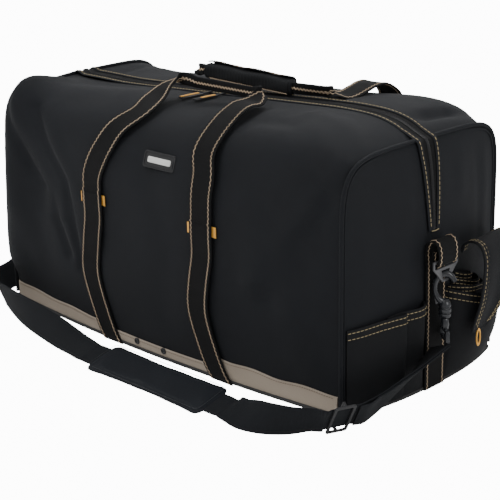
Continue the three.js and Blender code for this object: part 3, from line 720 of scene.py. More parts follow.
def layUp(grid):
    # lengths along the columns and rows of a grid, for its cloth map
    rows = np.cumsum(np.pad(np.linalg.norm(np.diff(grid, axis=0), axis=2), ((1, 0), (0, 0))), axis=0)
    cols = np.cumsum(np.pad(np.linalg.norm(np.diff(grid, axis=1), axis=2), ((0, 0), (1, 0))), axis=1)
    return np.stack([cols, rows], axis=2)


# front, back and ends of the body
shell = {"columns": 190, "rows": 110, "endRows": 84, "endColumns": 84, "reach": 0.8,
         "toZip": 15.3, "endToZip": 8}
seamRun = {"start": 0.012, "toMiddle": 18.3, "steps": 90, "look": 0.01}


def bodyPanel(name, face):
    turns = np.linspace(-math.pi / 2, math.pi / 2, shell["columns"] + 1)
    xs = [(halfLength + shell["reach"]) * math.sin(turn) for turn in turns]
    grid = np.array([[(x, *profile(x, j / shell["rows"], shell["toZip"])) for x in xs]
                     for j in range(shell["rows"] + 1)]) * (1, face, 1)
    out = normalsOf(grid)
    out *= np.sign(out[20, 90, 1] * face)
    flat = grid.reshape(-1, 3)
    outer = grid + out * sideDrape(flat, face).reshape(grid.shape[:2] + (1,))
    if face < 0:
        far = ramp(outer[..., 0], -296, 30)[..., None]
        outer = slump(outer) * (1 - far) + outer * far
    piece = sheet(f"{name}_body", outer, outer - out * bag["cloth"], layUp(grid), nylon)
    dress(piece, "bag", "nylon", f"{name}_panel")


bodyPanel("front", -1)
bodyPanel("back", 1)


def endPanelPiece(name, side):
    rows = []
    for j in range(shell["endRows"] + 1):
        half, z = profile(halfLength, j / shell["endRows"], shell["endToZip"])
        rows.append([(bag["endFace"] + endBulge(half * u, z), half * u, z)
                     for u in np.linspace(-1, 1, shell["endColumns"] + 1)])
    grid = np.array(rows)
    flat = grid.reshape(-1, 3)
    off = endDrape(flat).reshape(grid.shape[:2] + (1,)) * np.array([1, 0, 0])
    outer = (grid + off) * (side, 1, 1)
    if side < 0:
        outer = slump(outer)
    inner = outer - np.array([side * bag["cloth"], 0, 0])
    dress(sheet(f"{name}_end", outer, inner, layUp(grid), nylon), "bag", "nylon", f"{name}_end_panel")


def seamLine(side, sign, off, proud):
    line = []
    for i in range(seamRun["steps"] + 1):
        s = seamRun["start"] + (1 - seamRun["start"]) * i / seamRun["steps"]
        near = (s, min(s + seamRun["look"], 1), s - seamRun["look"])
        (y, z), (y2, z2), (y1, z1) = (profile(halfLength, t, seamRun["toMiddle"]) for t in near)
        run = math.hypot(y2 - y1, z2 - z1)
        line.append((side * (bag["endFace"] + endBulge(y, z) + proud),
                     sign * (y + off * (z2 - z1) / run), z - off * (y2 - y1) / run))
    return slump(np.array(line))


for name, side in (("left", -1), ("right", 1)):
    endPanelPiece(name, side)
    for edge, sign in (("front", -1), ("rear", 1)):
        cord = tubes(f"{name}_{edge}_cord", [seamLine(side, sign, 1.5, 0.3)], nylon, 2.7, 12)
        dress(cord, "bag", "nylon", f"{name}_{edge}_piping")
        lip = tubes(f"{name}_{edge}_seam", [seamLine(side, sign, -3.4, 0.5)], nylon, 1.7, 8)
        dress(lip, "bag", "nylon")
print("body panels are sewn")
board = nodes["base_board"].data
board.materials.clear()
board.materials.append(satinBlack)


# base, binding and tan band
def footprint(off, along=120, across=40):
    corners = []
    for turn in (1, -1):
        for i in range(along + 1):
            x = -turn * (halfLength + 0.5) * math.cos(math.pi * i / along)
            corners.append((x, -turn * (footAt(x) + off)))
        for i in range(across + 1):
            y = -turn * halfDepth * (1 - 2 * i / across)
            corners.append((turn * (bag["endFace"] + endBulge(y, 0) + off), y))
    return corners


def basePiece():
    outline = np.array(footprint(-1))
    levels = [(0.985, 2.6), (0.996, 2.9), (1, 2.2), (1, 0.7), (0.996, 0.1), (0.985, 0), (0.9, 0), (0.6, 0),
              (0.3, 0)]
    spots = [np.column_stack([outline * size, np.full(len(outline), z)]) for size, z in levels]
    around = len(outline)
    faces = hoops(around * len(levels), around, capped=False)
    top, bottom = around * len(levels), around * len(levels) + 1
    spots = np.concatenate(spots + [np.array([[0, 0, 2.6], [0, 0, 0]])])
    faces += [((k + 1) % around, k, top) for k in range(around)]
    last = (len(levels) - 1) * around
    faces += [(last + k, last + (k + 1) % around, bottom) for k in range(around)]
    dress(makeMesh("base_cloth", spots, faces, nylon, spots[:, :2]), "bag", "nylon", "base_panel")


def bindingPiece():
    section = [(0.8, 0.9), (0.8, 4.9), (1.2, 5.3), (2.0, 5.2), (2.5, 4.4), (2.6, 2.9), (2.5, 1.4), (1.9, 0.6)]
    rings = [footprint(off) for off, _ in section]
    size = len(section)
    spots, laidOut, run = [], [], 0.0
    for k, spot in enumerate(rings[0]):
        run += math.dist(spot, rings[0][k - 1]) if k else 0.0
        spots += [(*ring[k], z) for ring, (_, z) in zip(rings, section)]
        laidOut += [(z + off, run) for off, z in section]
    faces = hoops(len(spots), size, capped=False)
    last = len(spots) - size
    faces += [(last + s, last + (s + 1) % size, (s + 1) % size, s) for s in range(size)]
    dress(makeMesh("base_trim", spots, faces, bindingTwill, laidOut), "bag", "webbing", "base_binding")


def bandTop(x, face):
    rise = 22 + 6 * abs(x / halfLength) ** 2
    seen = -x * face
    if seen > 112:
        far = (seen - 112) / 190
        rise += 8.5 * (1 - min(far, 1)) + 1.3 * math.sin(seen / 12.5) * min(1, (seen - 112) / 30)
    elif seen < -110:
        rise += 1.0 * math.sin(seen / 15)
    return rise - 5.0 * nearEnd(x, 14) * (abs(seen) < 100)


band = {"columns": 220, "rows": 8, "foot": 5.4, "short": 3, "gap": 0.2,
        "thick": (1.0, 1.55, 1.8, 1.8, 1.8, 1.8, 1.75, 1.5, 1.0)}


def tanBand(name, face):
    turns = np.linspace(-math.pi / 2, math.pi / 2, band["columns"] + 1)
    grid = np.array([[onSide(x, band["foot"] + (bandTop(x, face) - band["foot"]) * j / band["rows"], 0, face)
                      for x in [(halfLength - band["short"]) * math.sin(turn) for turn in turns]]
                     for j in range(band["rows"] + 1)])
    outward = np.array([sideNormal(x, 14, face) for x in grid[0, :, 0]])[None, :, :]
    outer = grid + outward * np.array(band["thick"])[:, None, None]
    piece = sheet(f"{name}_tan_band", outer, grid + outward * band["gap"], layUp(grid), tanTwill)
    dress(piece, "bag", "tan_trim", f"{name}_guard_band")
    xs = np.linspace(-halfLength + 6, halfLength - 6, 300)
    spots = [onSide(x, bandTop(x, face) - 2.4, 1.6, face) for x in xs]
    row = lineRoute(spots, [sideNormal(x, 20, face) for x in xs])
    side = row.facing(sideNormal(0, 20, face), 9)
    sew(f"{name}_band_stitches", running(row, 0, side, 2.0, 1.5), darkThread, 0.42)


basePiece()
bindingPiece()
tanBand("front", -1)
tanBand("back", 1)
print("base and tan bands are on")


# zip: tape, coil, folded hems and their stitches
zipSizes = {"tooth": 1.7, "hem": 8.0, "hemThick": 1.5, "steps": 300, "coil": 4.4}


def zipLine(off):
    line = []
    for side in (-1, 1):
        half = [(side * (bag["endFace"] + endBulge(0, z) + 1 + off), 0, z) for z in (200, 225, 250, 272, 288)]
        half.append((side * (halfLength + 5.8 + off * 0.7), 0, 305.4 + off * 0.7))
        half.append((side * (halfLength - 1), 0, max(309, topAt(side * 302)) + off))
        half += [(side * x, 0, max(topAt(side * x), 306.6) - 0.8 + off)
                 for x in (290, 275, 250, 200, 150, 75)]
        line += half + [(0, 0, topAt(0) - 0.8 + off)] if side < 0 else half[::-1]
    return line


def zipRoute(off, spread=lambda seam: 0.0, widths=lambda seam: 1.0, thick=1.0):
    line = smoothLine(zipLine(off))
    centres = np.array([line(i / zipSizes["steps"]) for i in range(zipSizes["steps"] + 1)])
    tangents = unit(np.gradient(centres, axis=0))
    seams = [6.5 + 7.8 * min(1, max(0, z - 200) / 95) + (1.0 if abs(x) < 290 else 0) for x, _, z in centres]
    wides = np.tile([0.0, 1.0, 0.0], (len(centres), 1))
    centres = centres + wides * np.array([spread(seam) for seam in seams])[:, None]
    return Route(centres, wides, np.cross(tangents, wides), [widths(seam) for seam in seams], thick)


for name, side in (("front", -1), ("back", 1)):
    tape = zipRoute(0, lambda seam: side * (2.7 + (seam - 1.2) / 2), lambda seam: seam - 1.2)
    dress(bandPiece(f"zip_{name}_tape", tape, zipCloth), "bag", "webbing", f"zip_tape_{name}")
    hem = zipRoute(1.35, lambda seam: side * (seam + 0.4), lambda seam: zipSizes["hem"], zipSizes["hemThick"])
    dress(bandPiece(f"zip_{name}_hem", hem, nylon), "bag", "nylon")
    sew(f"zip_{name}_stitches", running(hem, 0, 1, 3.8, 2.0, 2, hem.length - 2), oliveThread, 0.5)
coilRoute = zipRoute(0.4, widths=lambda seam: zipSizes["coil"])
dress(bandPiece("zip_coil_core", coilRoute, satinBlack), "bag", "black_plastic", "zip_coil")
teeth, run = [], 2.0
while run < coilRoute.length - 2:
    shift = 0.45 if len(teeth) % 2 else -0.45
    teeth.append([coilRoute.at(run, shift + y, out)
                  for y, out in ((-2.1, 0.1), (-1.5, 0.9), (1.5, 0.9), (2.1, 0.1))])
    run += zipSizes["tooth"]
dress(tubes("zip_teeth", teeth, satinBlack, 0.55, 4), "bag", "black_plastic")
closing = []
for side in (-1, 1):
    points = [(side * (bag["endFace"] + endBulge(0, 200) + 3.4), y, 199.5 + abs(y) * 0.12)
              for y in np.linspace(-6.8, 6.8, 8)]
    closing += running(lineRoute(points, [(side, 0, 0)] * 8), 0, 1, 3.0, 0.4)
sew("zip_end_stitches", closing, oliveThread, 0.55)
print("zip is in")


# hard pieces, made by operators
def alone(piece):
    bpy.ops.object.select_all(action="DESELECT")
    piece.select_set(True)
    bpy.context.view_layer.objects.active = piece


def editing(mode):
    bpy.ops.object.mode_set(mode="EDIT" if mode else "OBJECT")


def finished(piece, name, material, matrix=None, bevel=0.0, crease=40):
    # puts a piece down by a matrix, rounds its edges and turns its faces out
    alone(piece)
    if matrix is not None:
        piece.matrix_world = Matrix(matrix)
    bpy.ops.object.transform_apply(location=True, rotation=True, scale=True)
    if bevel:
        rounding = piece.modifiers.new("rounding", "BEVEL")
        rounding.width, rounding.segments = bevel * mm, 2
        rounding.limit_method, rounding.angle_limit = "ANGLE", math.radians(28)
        rounding.use_clamp_overlap = True
        bpy.ops.object.modifier_apply(modifier="rounding")
    editing(True)
    bpy.ops.mesh.select_all(action="SELECT")
    bpy.ops.mesh.remove_doubles(threshold=0.00001)
    bpy.ops.mesh.normals_make_consistent(inside=False)
    editing(False)
    piece.name = piece.data.name = name
    piece.data.materials.clear()
    piece.data.materials.append(material)
    bpy.ops.object.shade_smooth_by_angle(angle=math.radians(crease))
    return piece


def refined(node, name, material, bevel, body, slot):
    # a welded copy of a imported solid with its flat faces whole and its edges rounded
    piece = bpy.data.objects.new(name, nodes[node].data.copy())
    bpy.context.scene.collection.objects.link(piece)
    alone(piece)
    editing(True)
    bpy.ops.mesh.select_all(action="SELECT")
    bpy.ops.mesh.remove_doubles(threshold=0.00002)
    bpy.ops.mesh.dissolve_limited(angle_limit=math.radians(4))
    editing(False)
    return dress(finished(piece, name, material, None, bevel), body, slot, node)


def turned(profile, sides=32):
    # a turned piece along Z from (radius, height) pairs, in millimetres
    bpy.ops.object.select_all(action="DESELECT")
    radius, height = profile[0]
    bpy.ops.mesh.primitive_circle_add(vertices=sides, radius=radius * mm, fill_type="NGON",
                                      location=(0, 0, height * mm))
    piece = bpy.context.object
    bpy.ops.object.transform_apply(location=True)
    editing(True)
    bpy.ops.mesh.select_all(action="SELECT")
    for (before, low), (after, high) in zip(profile, profile[1:]):
        bpy.ops.mesh.extrude_region_move(TRANSFORM_OT_translate={"value": (0, 0, (high - low) * mm)})
        bpy.ops.transform.resize(value=(after / before, after / before, 1), center_override=(0, 0, high * mm))
    editing(False)
    return piece


def ringOf(major, minor, around=40, across=14):
    bpy.ops.object.select_all(action="DESELECT")
    bpy.ops.mesh.primitive_torus_add(major_radius=major * mm, minor_radius=minor * mm,
                                     major_segments=around, minor_segments=across)
    return bpy.context.object


def basis(spot, xAxis, yAxis, zAxis, side=1):
    # a matrix to metres that may mirror to the left end
    rows = np.eye(4)
    for column, axis in enumerate((xAxis, yAxis, zAxis)):
        rows[:3, column] = axis
    rows[:3, 3] = np.array(spot, float) * mm
    rows[0, :] *= side
    return rows.tolist()


for name, x, length in (("left", -26, 0.94), ("right", 0, 0.66)):
    refined(f"{name}_zip_slider", f"{name}_slider_body", darkMetal, 0.45, f"{name}_slider", "grey_metal")
    refined(f"{name}_zip_pull", f"{name}_pull_body", satinBlack, 0.35, f"{name}_pull", "yellow_trim")
    shift = -2.2 if length > 0.8 else 2.0
    strip = [((x + shift - 3.4 - 4.6 * part, -36 - 30 * part * length, topAt(x) + 3.4 - 0.8 * part),
              (1, 0, 0), 4.2, 1.1) for part in (0, 0.3, 0.6, 1)]
    dress(bandPiece(f"{name}_pull_tape", stationRoute(strip, 24), amber), f"{name}_pull", "yellow_trim")


# label, with a plain raised bar and no lettering
def roundedOutline(width, height, radius, corner=7):
    outline = []
    for k, (sx, sy) in enumerate(((1, -1), (1, 1), (-1, 1), (-1, -1))):
        for i in range(corner + 1):
            turn = math.pi / 2 * (k - 1 + i / corner)
            outline.append((sx * (width / 2 - radius) + radius * math.cos(turn),
                            sy * (height / 2 - radius) + radius * math.sin(turn)))
    return np.array(outline)


def raised(name, outline, levels, spotAt, material):
    # a low relief: rings of an outline drawn in by a distance at a height
    reach = np.abs(outline).max(axis=0)
    rings = [outline * (1 - inset / reach) for inset, _ in levels]
    spots = [spotAt(a, b, height) for ring, (_, height) in zip(rings, levels) for a, b in ring]
    return makeMesh(name, spots, hoops(len(spots), len(outline)), material, np.concatenate(rings))


label = {"x": 26, "z": 263, "patch": (55, 21, 3.5), "bar": (40, 7.4, 2.2)}


def onLabel(a, b, out):
    spot = onSide(label["x"], label["z"], 0.4 + out, -1)
    up = unit(onSide(label["x"], label["z"] + 6, 0.4, -1) - onSide(label["x"], label["z"] - 6, 0.4, -1))
    return spot + np.array([a, 0.02 * a, 0]) + up * b


badge = raised("label_badge", roundedOutline(*label["patch"]),
               [(0, 0), (0, 1.5), (0.5, 2.1), (1.6, 2.1), (2.1, 1.5), (8, 1.5)], onLabel, softRubber)
dress(badge, "bag", "rubber", "label_patch")
bar = raised("label_bar", roundedOutline(*label["bar"]), [(0, 1.4), (0, 2.0), (0.5, 2.3)], onLabel,
             paleRubber)
dress(bar, "bag", "rubber")
for name, x in (("left", -26), ("right", 25)):
    out = sideNormal(x, 13.5, -1)
    across = np.array([1.0, 0, 0])
    there = basis(onSide(x, 13.5, 2.2, -1), across, np.cross(out, across), out)
    dress(finished(ringOf(3.3, 1.25), f"{name}_eyelet", satinBlack, there), "bag", "rubber",
          f"{name}_drain_eyelet")
    plug = turned([(2.6, -0.4), (2.6, 0.1), (1.6, 0.25)], 20)
    dress(finished(plug, f"{name}_eyelet_hole", satinBlack, there), "bag", "rubber")
print("zip pulls, label and eyelets are fitted")


# webbing legs sewn to the front and back, and the tags under them
handle = {"fold": 204, "lift": 3.9, "left": -96, "right": 106, "tag": 193.2}


def swayAt(z):
    return 24 * math.exp(-z / 28) - 12 * math.exp(-((z - 95) / 45) ** 2)


def legPiece(name, x, face):
    stations = []
    for z in np.linspace(1.2, handle["fold"] - 1.0, 34):
        at = x + swayAt(z) - swayAt(handle["fold"])
        kink = 0.7 * math.sin(z / 9.0 + x) * math.exp(-((z - 160) / 50) ** 2)
        stations.append((onSide(at, z, handle["lift"] + kink, face), (1, 0, 0), *webbing.values()))
    centres = stationRoute(stations, 150).centres
    level = np.tile([1.0, 0, 0], (len(centres), 1))
    route = Route(centres, level, np.cross(np.gradient(centres, axis=0), level), *webbing.values())
    dress(bandPiece(f"{name}_leg", route, webbingBlack, 0.14), "bag", "webbing", f"{name}_handle_leg")
    lines = [zigzag(route, side, face) for side in (-1, 1)]
    sew(f"{name}_leg_stitches", lines, tanThread)
    tag = [(onSide(x + dx, handle["tag"] + (1.4 if dx > 0 else 0), 1.6 + 0.5 * (abs(dx) > 20), face),
            (0, 0, 1), 13.5, 1.1) for dx in (-23.6, -20, -10, 0, 10, 20, 23.4)]
    dress(bandPiece(f"{name}_tag", stationRoute(tag, 30), amber), "bag", "yellow_trim", f"{name}_handle_tag")


for name, x, face in (("front_left", handle["left"], -1), ("front_right", handle["right"], -1),
                      ("back_left", handle["left"], 1), ("back_right", handle["right"], 1)):
    legPiece(name, x, face)


def handleRoute(face, leftEnd, rightEnd, left, right, leftRise, rightRise):
    # up one leg, folded into a bridge over the top, and down the other
    left, right = np.array(left, float), np.array(right, float)
    wide, thick = webbing.values()

    def legUp(x, z, slack=0.0, across=1, deep=thick):
        return onSide(x, z, handle["lift"] + slack, face), (across, 0, 0), wide, deep

    def shoulder(x, y, off, across=1):
        return np.array([x, face * y, roofAt(x, face * y) + off]), (across, 0, 0), wide, thick

    def beside(end, x, dy, dz, across, size=(wide, thick)):
        return np.array([x, end[1] + face * dy, end[2] + dz]), across, *size

    low, high, leftLeg, rightLeg = handle["fold"] - 0.6, handle["fold"] + 4, handle["left"], handle["right"]
    climb = [legUp(leftLeg, low, 0.7, 1, 3.4), legUp(leftLeg, high), legUp(leftLeg, 222),
             legUp(leftLeg + 5, 238), legUp(leftLeg + 18, 262, 1), legUp(leftLeg + 32, 285, 3),
             shoulder(leftEnd + 4, 124, 8), shoulder(leftEnd, 95, 12),
             beside(left, leftEnd - 2, 24, leftRise - 6, (1, 0, 0.2), (29, 2.6)),
             beside(left, leftEnd + 6, 6, leftRise, (0.8, -0.5 * face, 0.6), (17, 4))]
    bridge = [(left + (right - left) * part, (0, 0, 1), 15, 4.4)
              for part in (0, 0.04, 0.27, 0.5, 0.73, 0.96, 1)]
    descent = [beside(right, rightEnd - 6, 6, rightRise, (-0.8, -0.5 * face, 0.6), (17, 4)),
               beside(right, rightEnd, 24, rightRise - 6, (-1, 0, 0.2), (29, 2.6)),
               shoulder(rightEnd, 95, 13, -1), shoulder(rightEnd, 124, 9, -1),
               legUp((rightLeg + rightEnd) / 2, 285, 5, -1), legUp(rightLeg + 3, 262, 2, -1),
               legUp(rightLeg, 238, 0, -1), legUp(rightLeg, 222, 0, -1), legUp(rightLeg, high, 0, -1),
               legUp(rightLeg, low, 0.7, -1, 3.4)]
    return stationRoute(climb + bridge + descent, 420)


bridges = {  # face, where each end turns down, the bridge's two ends, and how far each end twists up
    "front": (-1, -50, 104, (-20, -48, 337), (78, -48, 337.5), 3, 3),
    "back": (1, -98, 152, (-80, 20, 336), (96, 15, 334.5), -3, 1),
}
for name, sizes in bridges.items():
    route = handleRoute(*sizes)
    web = bandPiece(f"{name}_handle_web", route, webbingBlack, 0.12)
    dress(web, f"{name}_handle", "webbing", f"{name}_handle")
    lines = [zigzag(route, side, face) for side in (-1, 1) for face in (-1, 1)]
    sew(f"{name}_handle_stitches", lines, tanThread, body=f"{name}_handle")
print("legs and handles are on")


# padded grip round the back handle and the flap that closes it
grip = {"length": 160, "width": 18, "height": 21, "around": 40, "along": 150}
gripEnds = [np.array(p, float) for p in bridges["back"][3:5]]
gripMiddle = (gripEnds[0] + gripEnds[1]) / 2
gripRun = unit(gripEnds[1] - gripEnds[0])
gripAcross = unit(np.cross((0, 0, 1), gripRun))
gripUp = np.cross(gripRun, gripAcross)


def gripSpot(turn, along, out):
    shape = (abs(math.cos(turn)) ** 3 + abs(math.sin(turn)) ** 3) ** (-1 / 3)
    return (gripMiddle + gripRun * along + gripAcross * (grip["width"] / 2 * shape + out) * math.cos(turn)
            + gripUp * (grip["height"] / 2 * shape + out) * math.sin(turn))


def gripSleeve():
    spots, laidOut = [], []
    for i in range(grip["along"] + 1):
        along = (i / grip["along"] - 0.5) * grip["length"]
        rim = max(0.0, abs(along) - (grip["length"] / 2 - 4)) / 4
        for k in range(grip["around"]):
            turn = 2 * math.pi * k / grip["around"]
            puff = 0.1 * math.cos(along * 1.15) + 0.7 * math.sin(along / 13 + turn) * math.sin(turn * 2 + 1)
            spots.append(gripSpot(turn, along, puff - 3.2 * rim ** 2 - 0.5))
            laidOut.append((turn * 9, along))
    sleeve = makeMesh("grip_sleeve", spots, hoops(len(spots), grip["around"]), gripCloth, laidOut)
    dress(sleeve, "back_handle", "nylon", "handle_grip")
    lower = [gripSpot(math.radians(218), along, 0.4) for along in np.linspace(-66, 78, 90)]
    row = lineRoute(lower, [-gripAcross - gripUp * 0.6] * 90)
    side = row.facing(-gripAcross)
    line = [row.at(run, 0.8 * (-1) ** i, side * 0.3) for i, run in enumerate(np.arange(0, row.length, 2.0))]
    sew("grip_stitches", [line], tanThread, body="back_handle")


def gripFlapPiece():
    def layer(thick):
        rows = []
        for v in np.linspace(0, 1, 15):
            rows.append([])
            for along in np.linspace(-0.5, 0.5, 71) * (grip["length"] - 8):
                waver = 1.1 + 0.9 * math.sin(along / 11) + 0.5 * math.sin(along / 5 + 1)
                lift = 1.1 + (1 - v) ** 3 * waver + thick
                rows[-1].append(gripSpot(math.radians(100 - 100 * v), along, lift))
        return np.array(rows)

    outer = layer(1.3)
    dress(sheet("grip_flap_cloth", outer, layer(0), layUp(outer), nylon), "grip_flap", "nylon", "grip_flap")
    mark = [gripSpot(math.radians(94), along, 3.4 + 0.5 * (k % 2))
            for k, along in enumerate(np.linspace(-50, -44, 6))]
    edge = [gripSpot(math.radians(96), along, 3.6 + 0.9 * math.sin(along / 11))
            for along in np.linspace(-70, 70, 60)]
    row = lineRoute(edge, [(0, 0, 1)] * 60)
    sew("grip_flap_stitches", [mark] + running(row, 0, 1, 3, 1.4), tanThread, 0.42, "grip_flap")


gripSleeve()
gripFlapPiece()
print("grip is padded")


# end pockets, flaps and the webbing that holds each ring
pocket = {"thick": 1.5, "floor": 6.5, "hem": 12.5, "columns": 120, "rows": 34, "seam": 20.5, "wide": 118.5}
frontPlan = {  # distance along the end and how far the cloth stands off it, at the top and at the foot
    "top": [(-139, 0.6), (-128, 2.2), (-104, 3.6), (-80, 6), (-64, 9.5), (-60.5, 8.6), (-62, 6.6), (-70, 4.8),
            (-80, 4.6), (-84, 3.6), (-82, 2.2), (-74, 2.0), (-62, 2.6), (-50, 6.5), (-38, 10), (-28, 8.5),
            (-20.5, 0.6)],
    "foot": [(-139, 0.6), (-128, 1.0), (-104, 1.4), (-80, 3.0), (-64, 4.2), (-60.5, 3.9), (-62, 3.3),
             (-70, 2.9), (-76, 2.8), (-78, 2.2), (-76, 1.5), (-70, 1.2), (-60, 1.0), (-50, 1.0), (-38, 1.0), (-28, 0.9),
             (-20.5, 0.6)],
}
rearPlan = {
    "top": [(20.5, 0.6), (24, 9), (32, 17), (44, 25), (58, 31), (74, 34), (90, 33), (104, 28), (118, 19),
            (130, 9), (139, 0.6)],
    "foot": [(20.5, 0.6), (24, 1.2), (32, 2), (44, 3), (58, 4), (74, 4.4), (90, 4), (104, 3.2), (118, 2.2),
             (130, 1.4), (139, 0.6)],
}


def frontTop(y, stand):
    return 108 + 8 * (y + 139) / pocket["wide"] + 0.5 * (stand < 5)


def rearTop(y, stand):
    part = (y - pocket["seam"]) / pocket["wide"]
    return 122 - 24 * part - 5 * math.sin(math.pi * part)


def pocketPiece(name, side, plan, topAtY, puffed):
    # puffed is how far the middle of the pocket stands out more
    top, foot = (smoothLine([(y, stand, 0) for y, stand in plan[key]]) for key in ("top", "foot"))
    columns, rows = pocket["columns"], pocket["rows"]
    grid = []
    for j in range(rows + 1):
        v = (j / rows) ** 1.1
        line = []
        for i in range(columns + 1):
            high, low = top(i / columns), foot(i / columns)
            share = math.sin(math.pi / 2 * v) ** 0.8
            y = low[0] + (high[0] - low[0]) * v
            stand = low[1] + (high[1] - low[1]) * share
            stand += puffed * math.sin(math.pi * v) * math.sin(math.pi * i / columns)
            z = pocket["floor"] + (topAtY(high[0], high[1]) - pocket["floor"]) * v
            line.append(onEnd(y, z, 0.9 + stand))
        grid.append(line)
    grid = np.array(grid)
    out = normalsOf(grid)
    out *= np.sign(out[rows // 2, columns // 6, 0])
    mirror = np.array([side, 1, 1])
    piece = sheet(f"{name}_cloth", (grid + out * pocket["thick"] / 2) * mirror,
                  (grid - out * pocket["thick"] / 2) * mirror, layUp(grid), lining)
    dress(piece, "bag", "nylon", name)
    # folded hem along the top with two rows of stitches
    down = unit(grid[-1] - grid[-4])
    edge, normal = grid[-1], out[-1]
    levels = ((0.6, 0.2), (0.8, 1.1), (0.0, 1.5), (-6, 1.55), (0.8 - pocket["hem"], 1.45),
              (-pocket["hem"], 0.9))
    outer = np.array([edge + down * drop + normal * lift for drop, lift in levels])
    inner = np.array([edge + down * drop + normal * -0.5 for drop, _ in levels])
    dress(sheet(f"{name}_hem", outer * mirror, inner * mirror, layUp(outer), lining), "bag", "nylon")
    lines = []
    for drop in (-2.6, -pocket["hem"] + 2.2):
        row = lineRoute((edge + down * drop + normal * 1.6) * mirror, normal * mirror)
        face = row.facing(normal[5] * mirror, 5)
        lines += running(row, 0, face, 3.6, 1.8, 1, row.length - 1)
    sew(f"{name}_hem_stitches", lines, oliveThread)


def gatherPiece(name, side):
    # the folds of cloth drawn together inside the mouth of the rear pocket
    mirror = np.array([side, 1, 1])
    lines = []
    for k, (low, high, deep, top) in enumerate(((26, 96, 25, 121), (34, 86, 18, 128), (42, 76, 11, 134))):
        edge = []
        for u in np.linspace(0, 1, 50):
            arch = math.sin(math.pi * u)
            waver = 1 + 0.14 * math.sin(8 * u + 2.1 * k)
            level = top + 4 - 9 * u + 1.8 * math.sin(5.2 * u + 2.3 * k) * arch
            edge.append(onEnd(low + (high - low) * u, level, 1.2 + deep * waver * arch ** 0.75))
        edge = np.array(edge)
        grid = np.array([edge + np.array([-0.06 * drop, 0, -drop]) for drop in (18, 12, 6, 1.2, 0)])
        out = normalsOf(grid)
        out *= np.sign(out[2, 25, 0])
        half = out * np.array([0.7, 0.8, 0.8, 0.75, 0.4])[:, None, None]
        outer, inner = (grid + half) * mirror, (grid - half) * mirror
        dress(sheet(f"{name}_gather_{k}", outer, inner, layUp(grid), lining), "bag", "nylon")
        for drop in (2.4, 7.0):
            row = lineRoute((edge + np.array([-0.06 * drop + 0.9, 0, -drop])) * mirror, out[3] * mirror)
            face = row.facing(out[3][25] * mirror, 25)
            lines += running(row, 0, face, 3.4, 1.8, 1, row.length - 1)
    sew(f"{name}_gather_stitches", lines, oliveThread, 0.45)


flap = {"rows": 120, "columns": 26, "thick": 2.0, "narrow": 22, "wide": 52, "fold": 0.25, "curl": 7.2,
        "hinge": ((0.334, 0.084, 0.186), (0.349, 0.084, 0.186)), "loop": (361.2, 46, 60)}
flapLine = smoothLine([(323.6, 90, 160), (329, 88, 170), (342, 87, 177), (356, 84, 175), (365, 80, 161),
                       (368.5, 73, 136), (368, 65, 108), (365, 55, 86), (361, 47, 70)])


def flapSpot(u, part):
    at = flapLine(part)
    y = at[1] + (u - 0.5) * (flap["narrow"] + flap["wide"] * max(0.0, math.cos(math.pi / 2 * part)) ** 0.6)
    hug = max(0, 1 - part / flap["fold"]) * (endBulge(y, 150) - endBulge(at[1], 150))
    curl = flap["curl"] * math.sin(math.pi * u * 2 + 0.6) * part * (1 - part) * min(1, part * 3)
    return np.array([at[0] + hug + curl, y, at[2]])


def flapPieces(name, side):
    mirror = np.array([side, 1, 1])
    grid = np.array([[flapSpot(i / flap["columns"], j / flap["rows"]) for i in range(flap["columns"] + 1)]
                     for j in range(flap["rows"] + 1)])
    out = normalsOf(grid)
    out *= np.sign(out[90, 13, 0])
    inner = grid - out * flap["thick"]
    body = sheet(f"{name}_flap_cloth", grid * mirror, inner * mirror, layUp(grid), lining)
    rim = np.concatenate([grid[1:, 0], grid[-1, 1:-1], grid[::-1, -1][:-1]])
    rimOut = np.concatenate([out[1:, 0], out[-1, 1:-1], out[::-1, -1][:-1]])
    border = tubes(f"{name}_flap_border", [(rim - rimOut * 1.0) * mirror], lining, 1.7, 8)
    lines = []
    for inset in (3.2, 7.4):
        for near, far in ((grid[:, 0], grid[:, -1]), (grid[:, -1], grid[:, 0])):
            middle = near + inset * unit(far - near)
            for lift, face in ((0.0, 1), (-flap["thick"], -1)):
                spots = (middle + out[:, 13] * lift)[3:-4]
                row = lineRoute(spots * mirror, out[3:-4, 13] * mirror)
                lines += running(row, 0, face * row.facing(out[43, 13] * mirror, 40), 3.4, 1.8)
    stitches = tubes(f"{name}_flap_stitches", lines, oliveThread, 0.46)
    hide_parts(f"{name}_flap_hem", f"{name}_pocket_flap")
    for piece, slot in ((body, "nylon"), (border, "nylon"), (stitches, "tan_trim")):
        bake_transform(piece)
    loop = ringOf(5.6, 1.15, 40, 12)
    loop.scale = (0.62, 1.75, 1)
    alone(loop)
    bpy.ops.object.transform_apply(scale=True)
    there = basis(flap["loop"], (0, 1, 0), (0, 0, 1), (1, 0, 0), side)
    dress(finished(loop, f"{name}_loop", amber, there), f"{name}_flap", "yellow_trim", f"{name}_flap_loop")


barAt = {"x": bag["endFace"] + bag["endBow"] + 16, "z": 167}


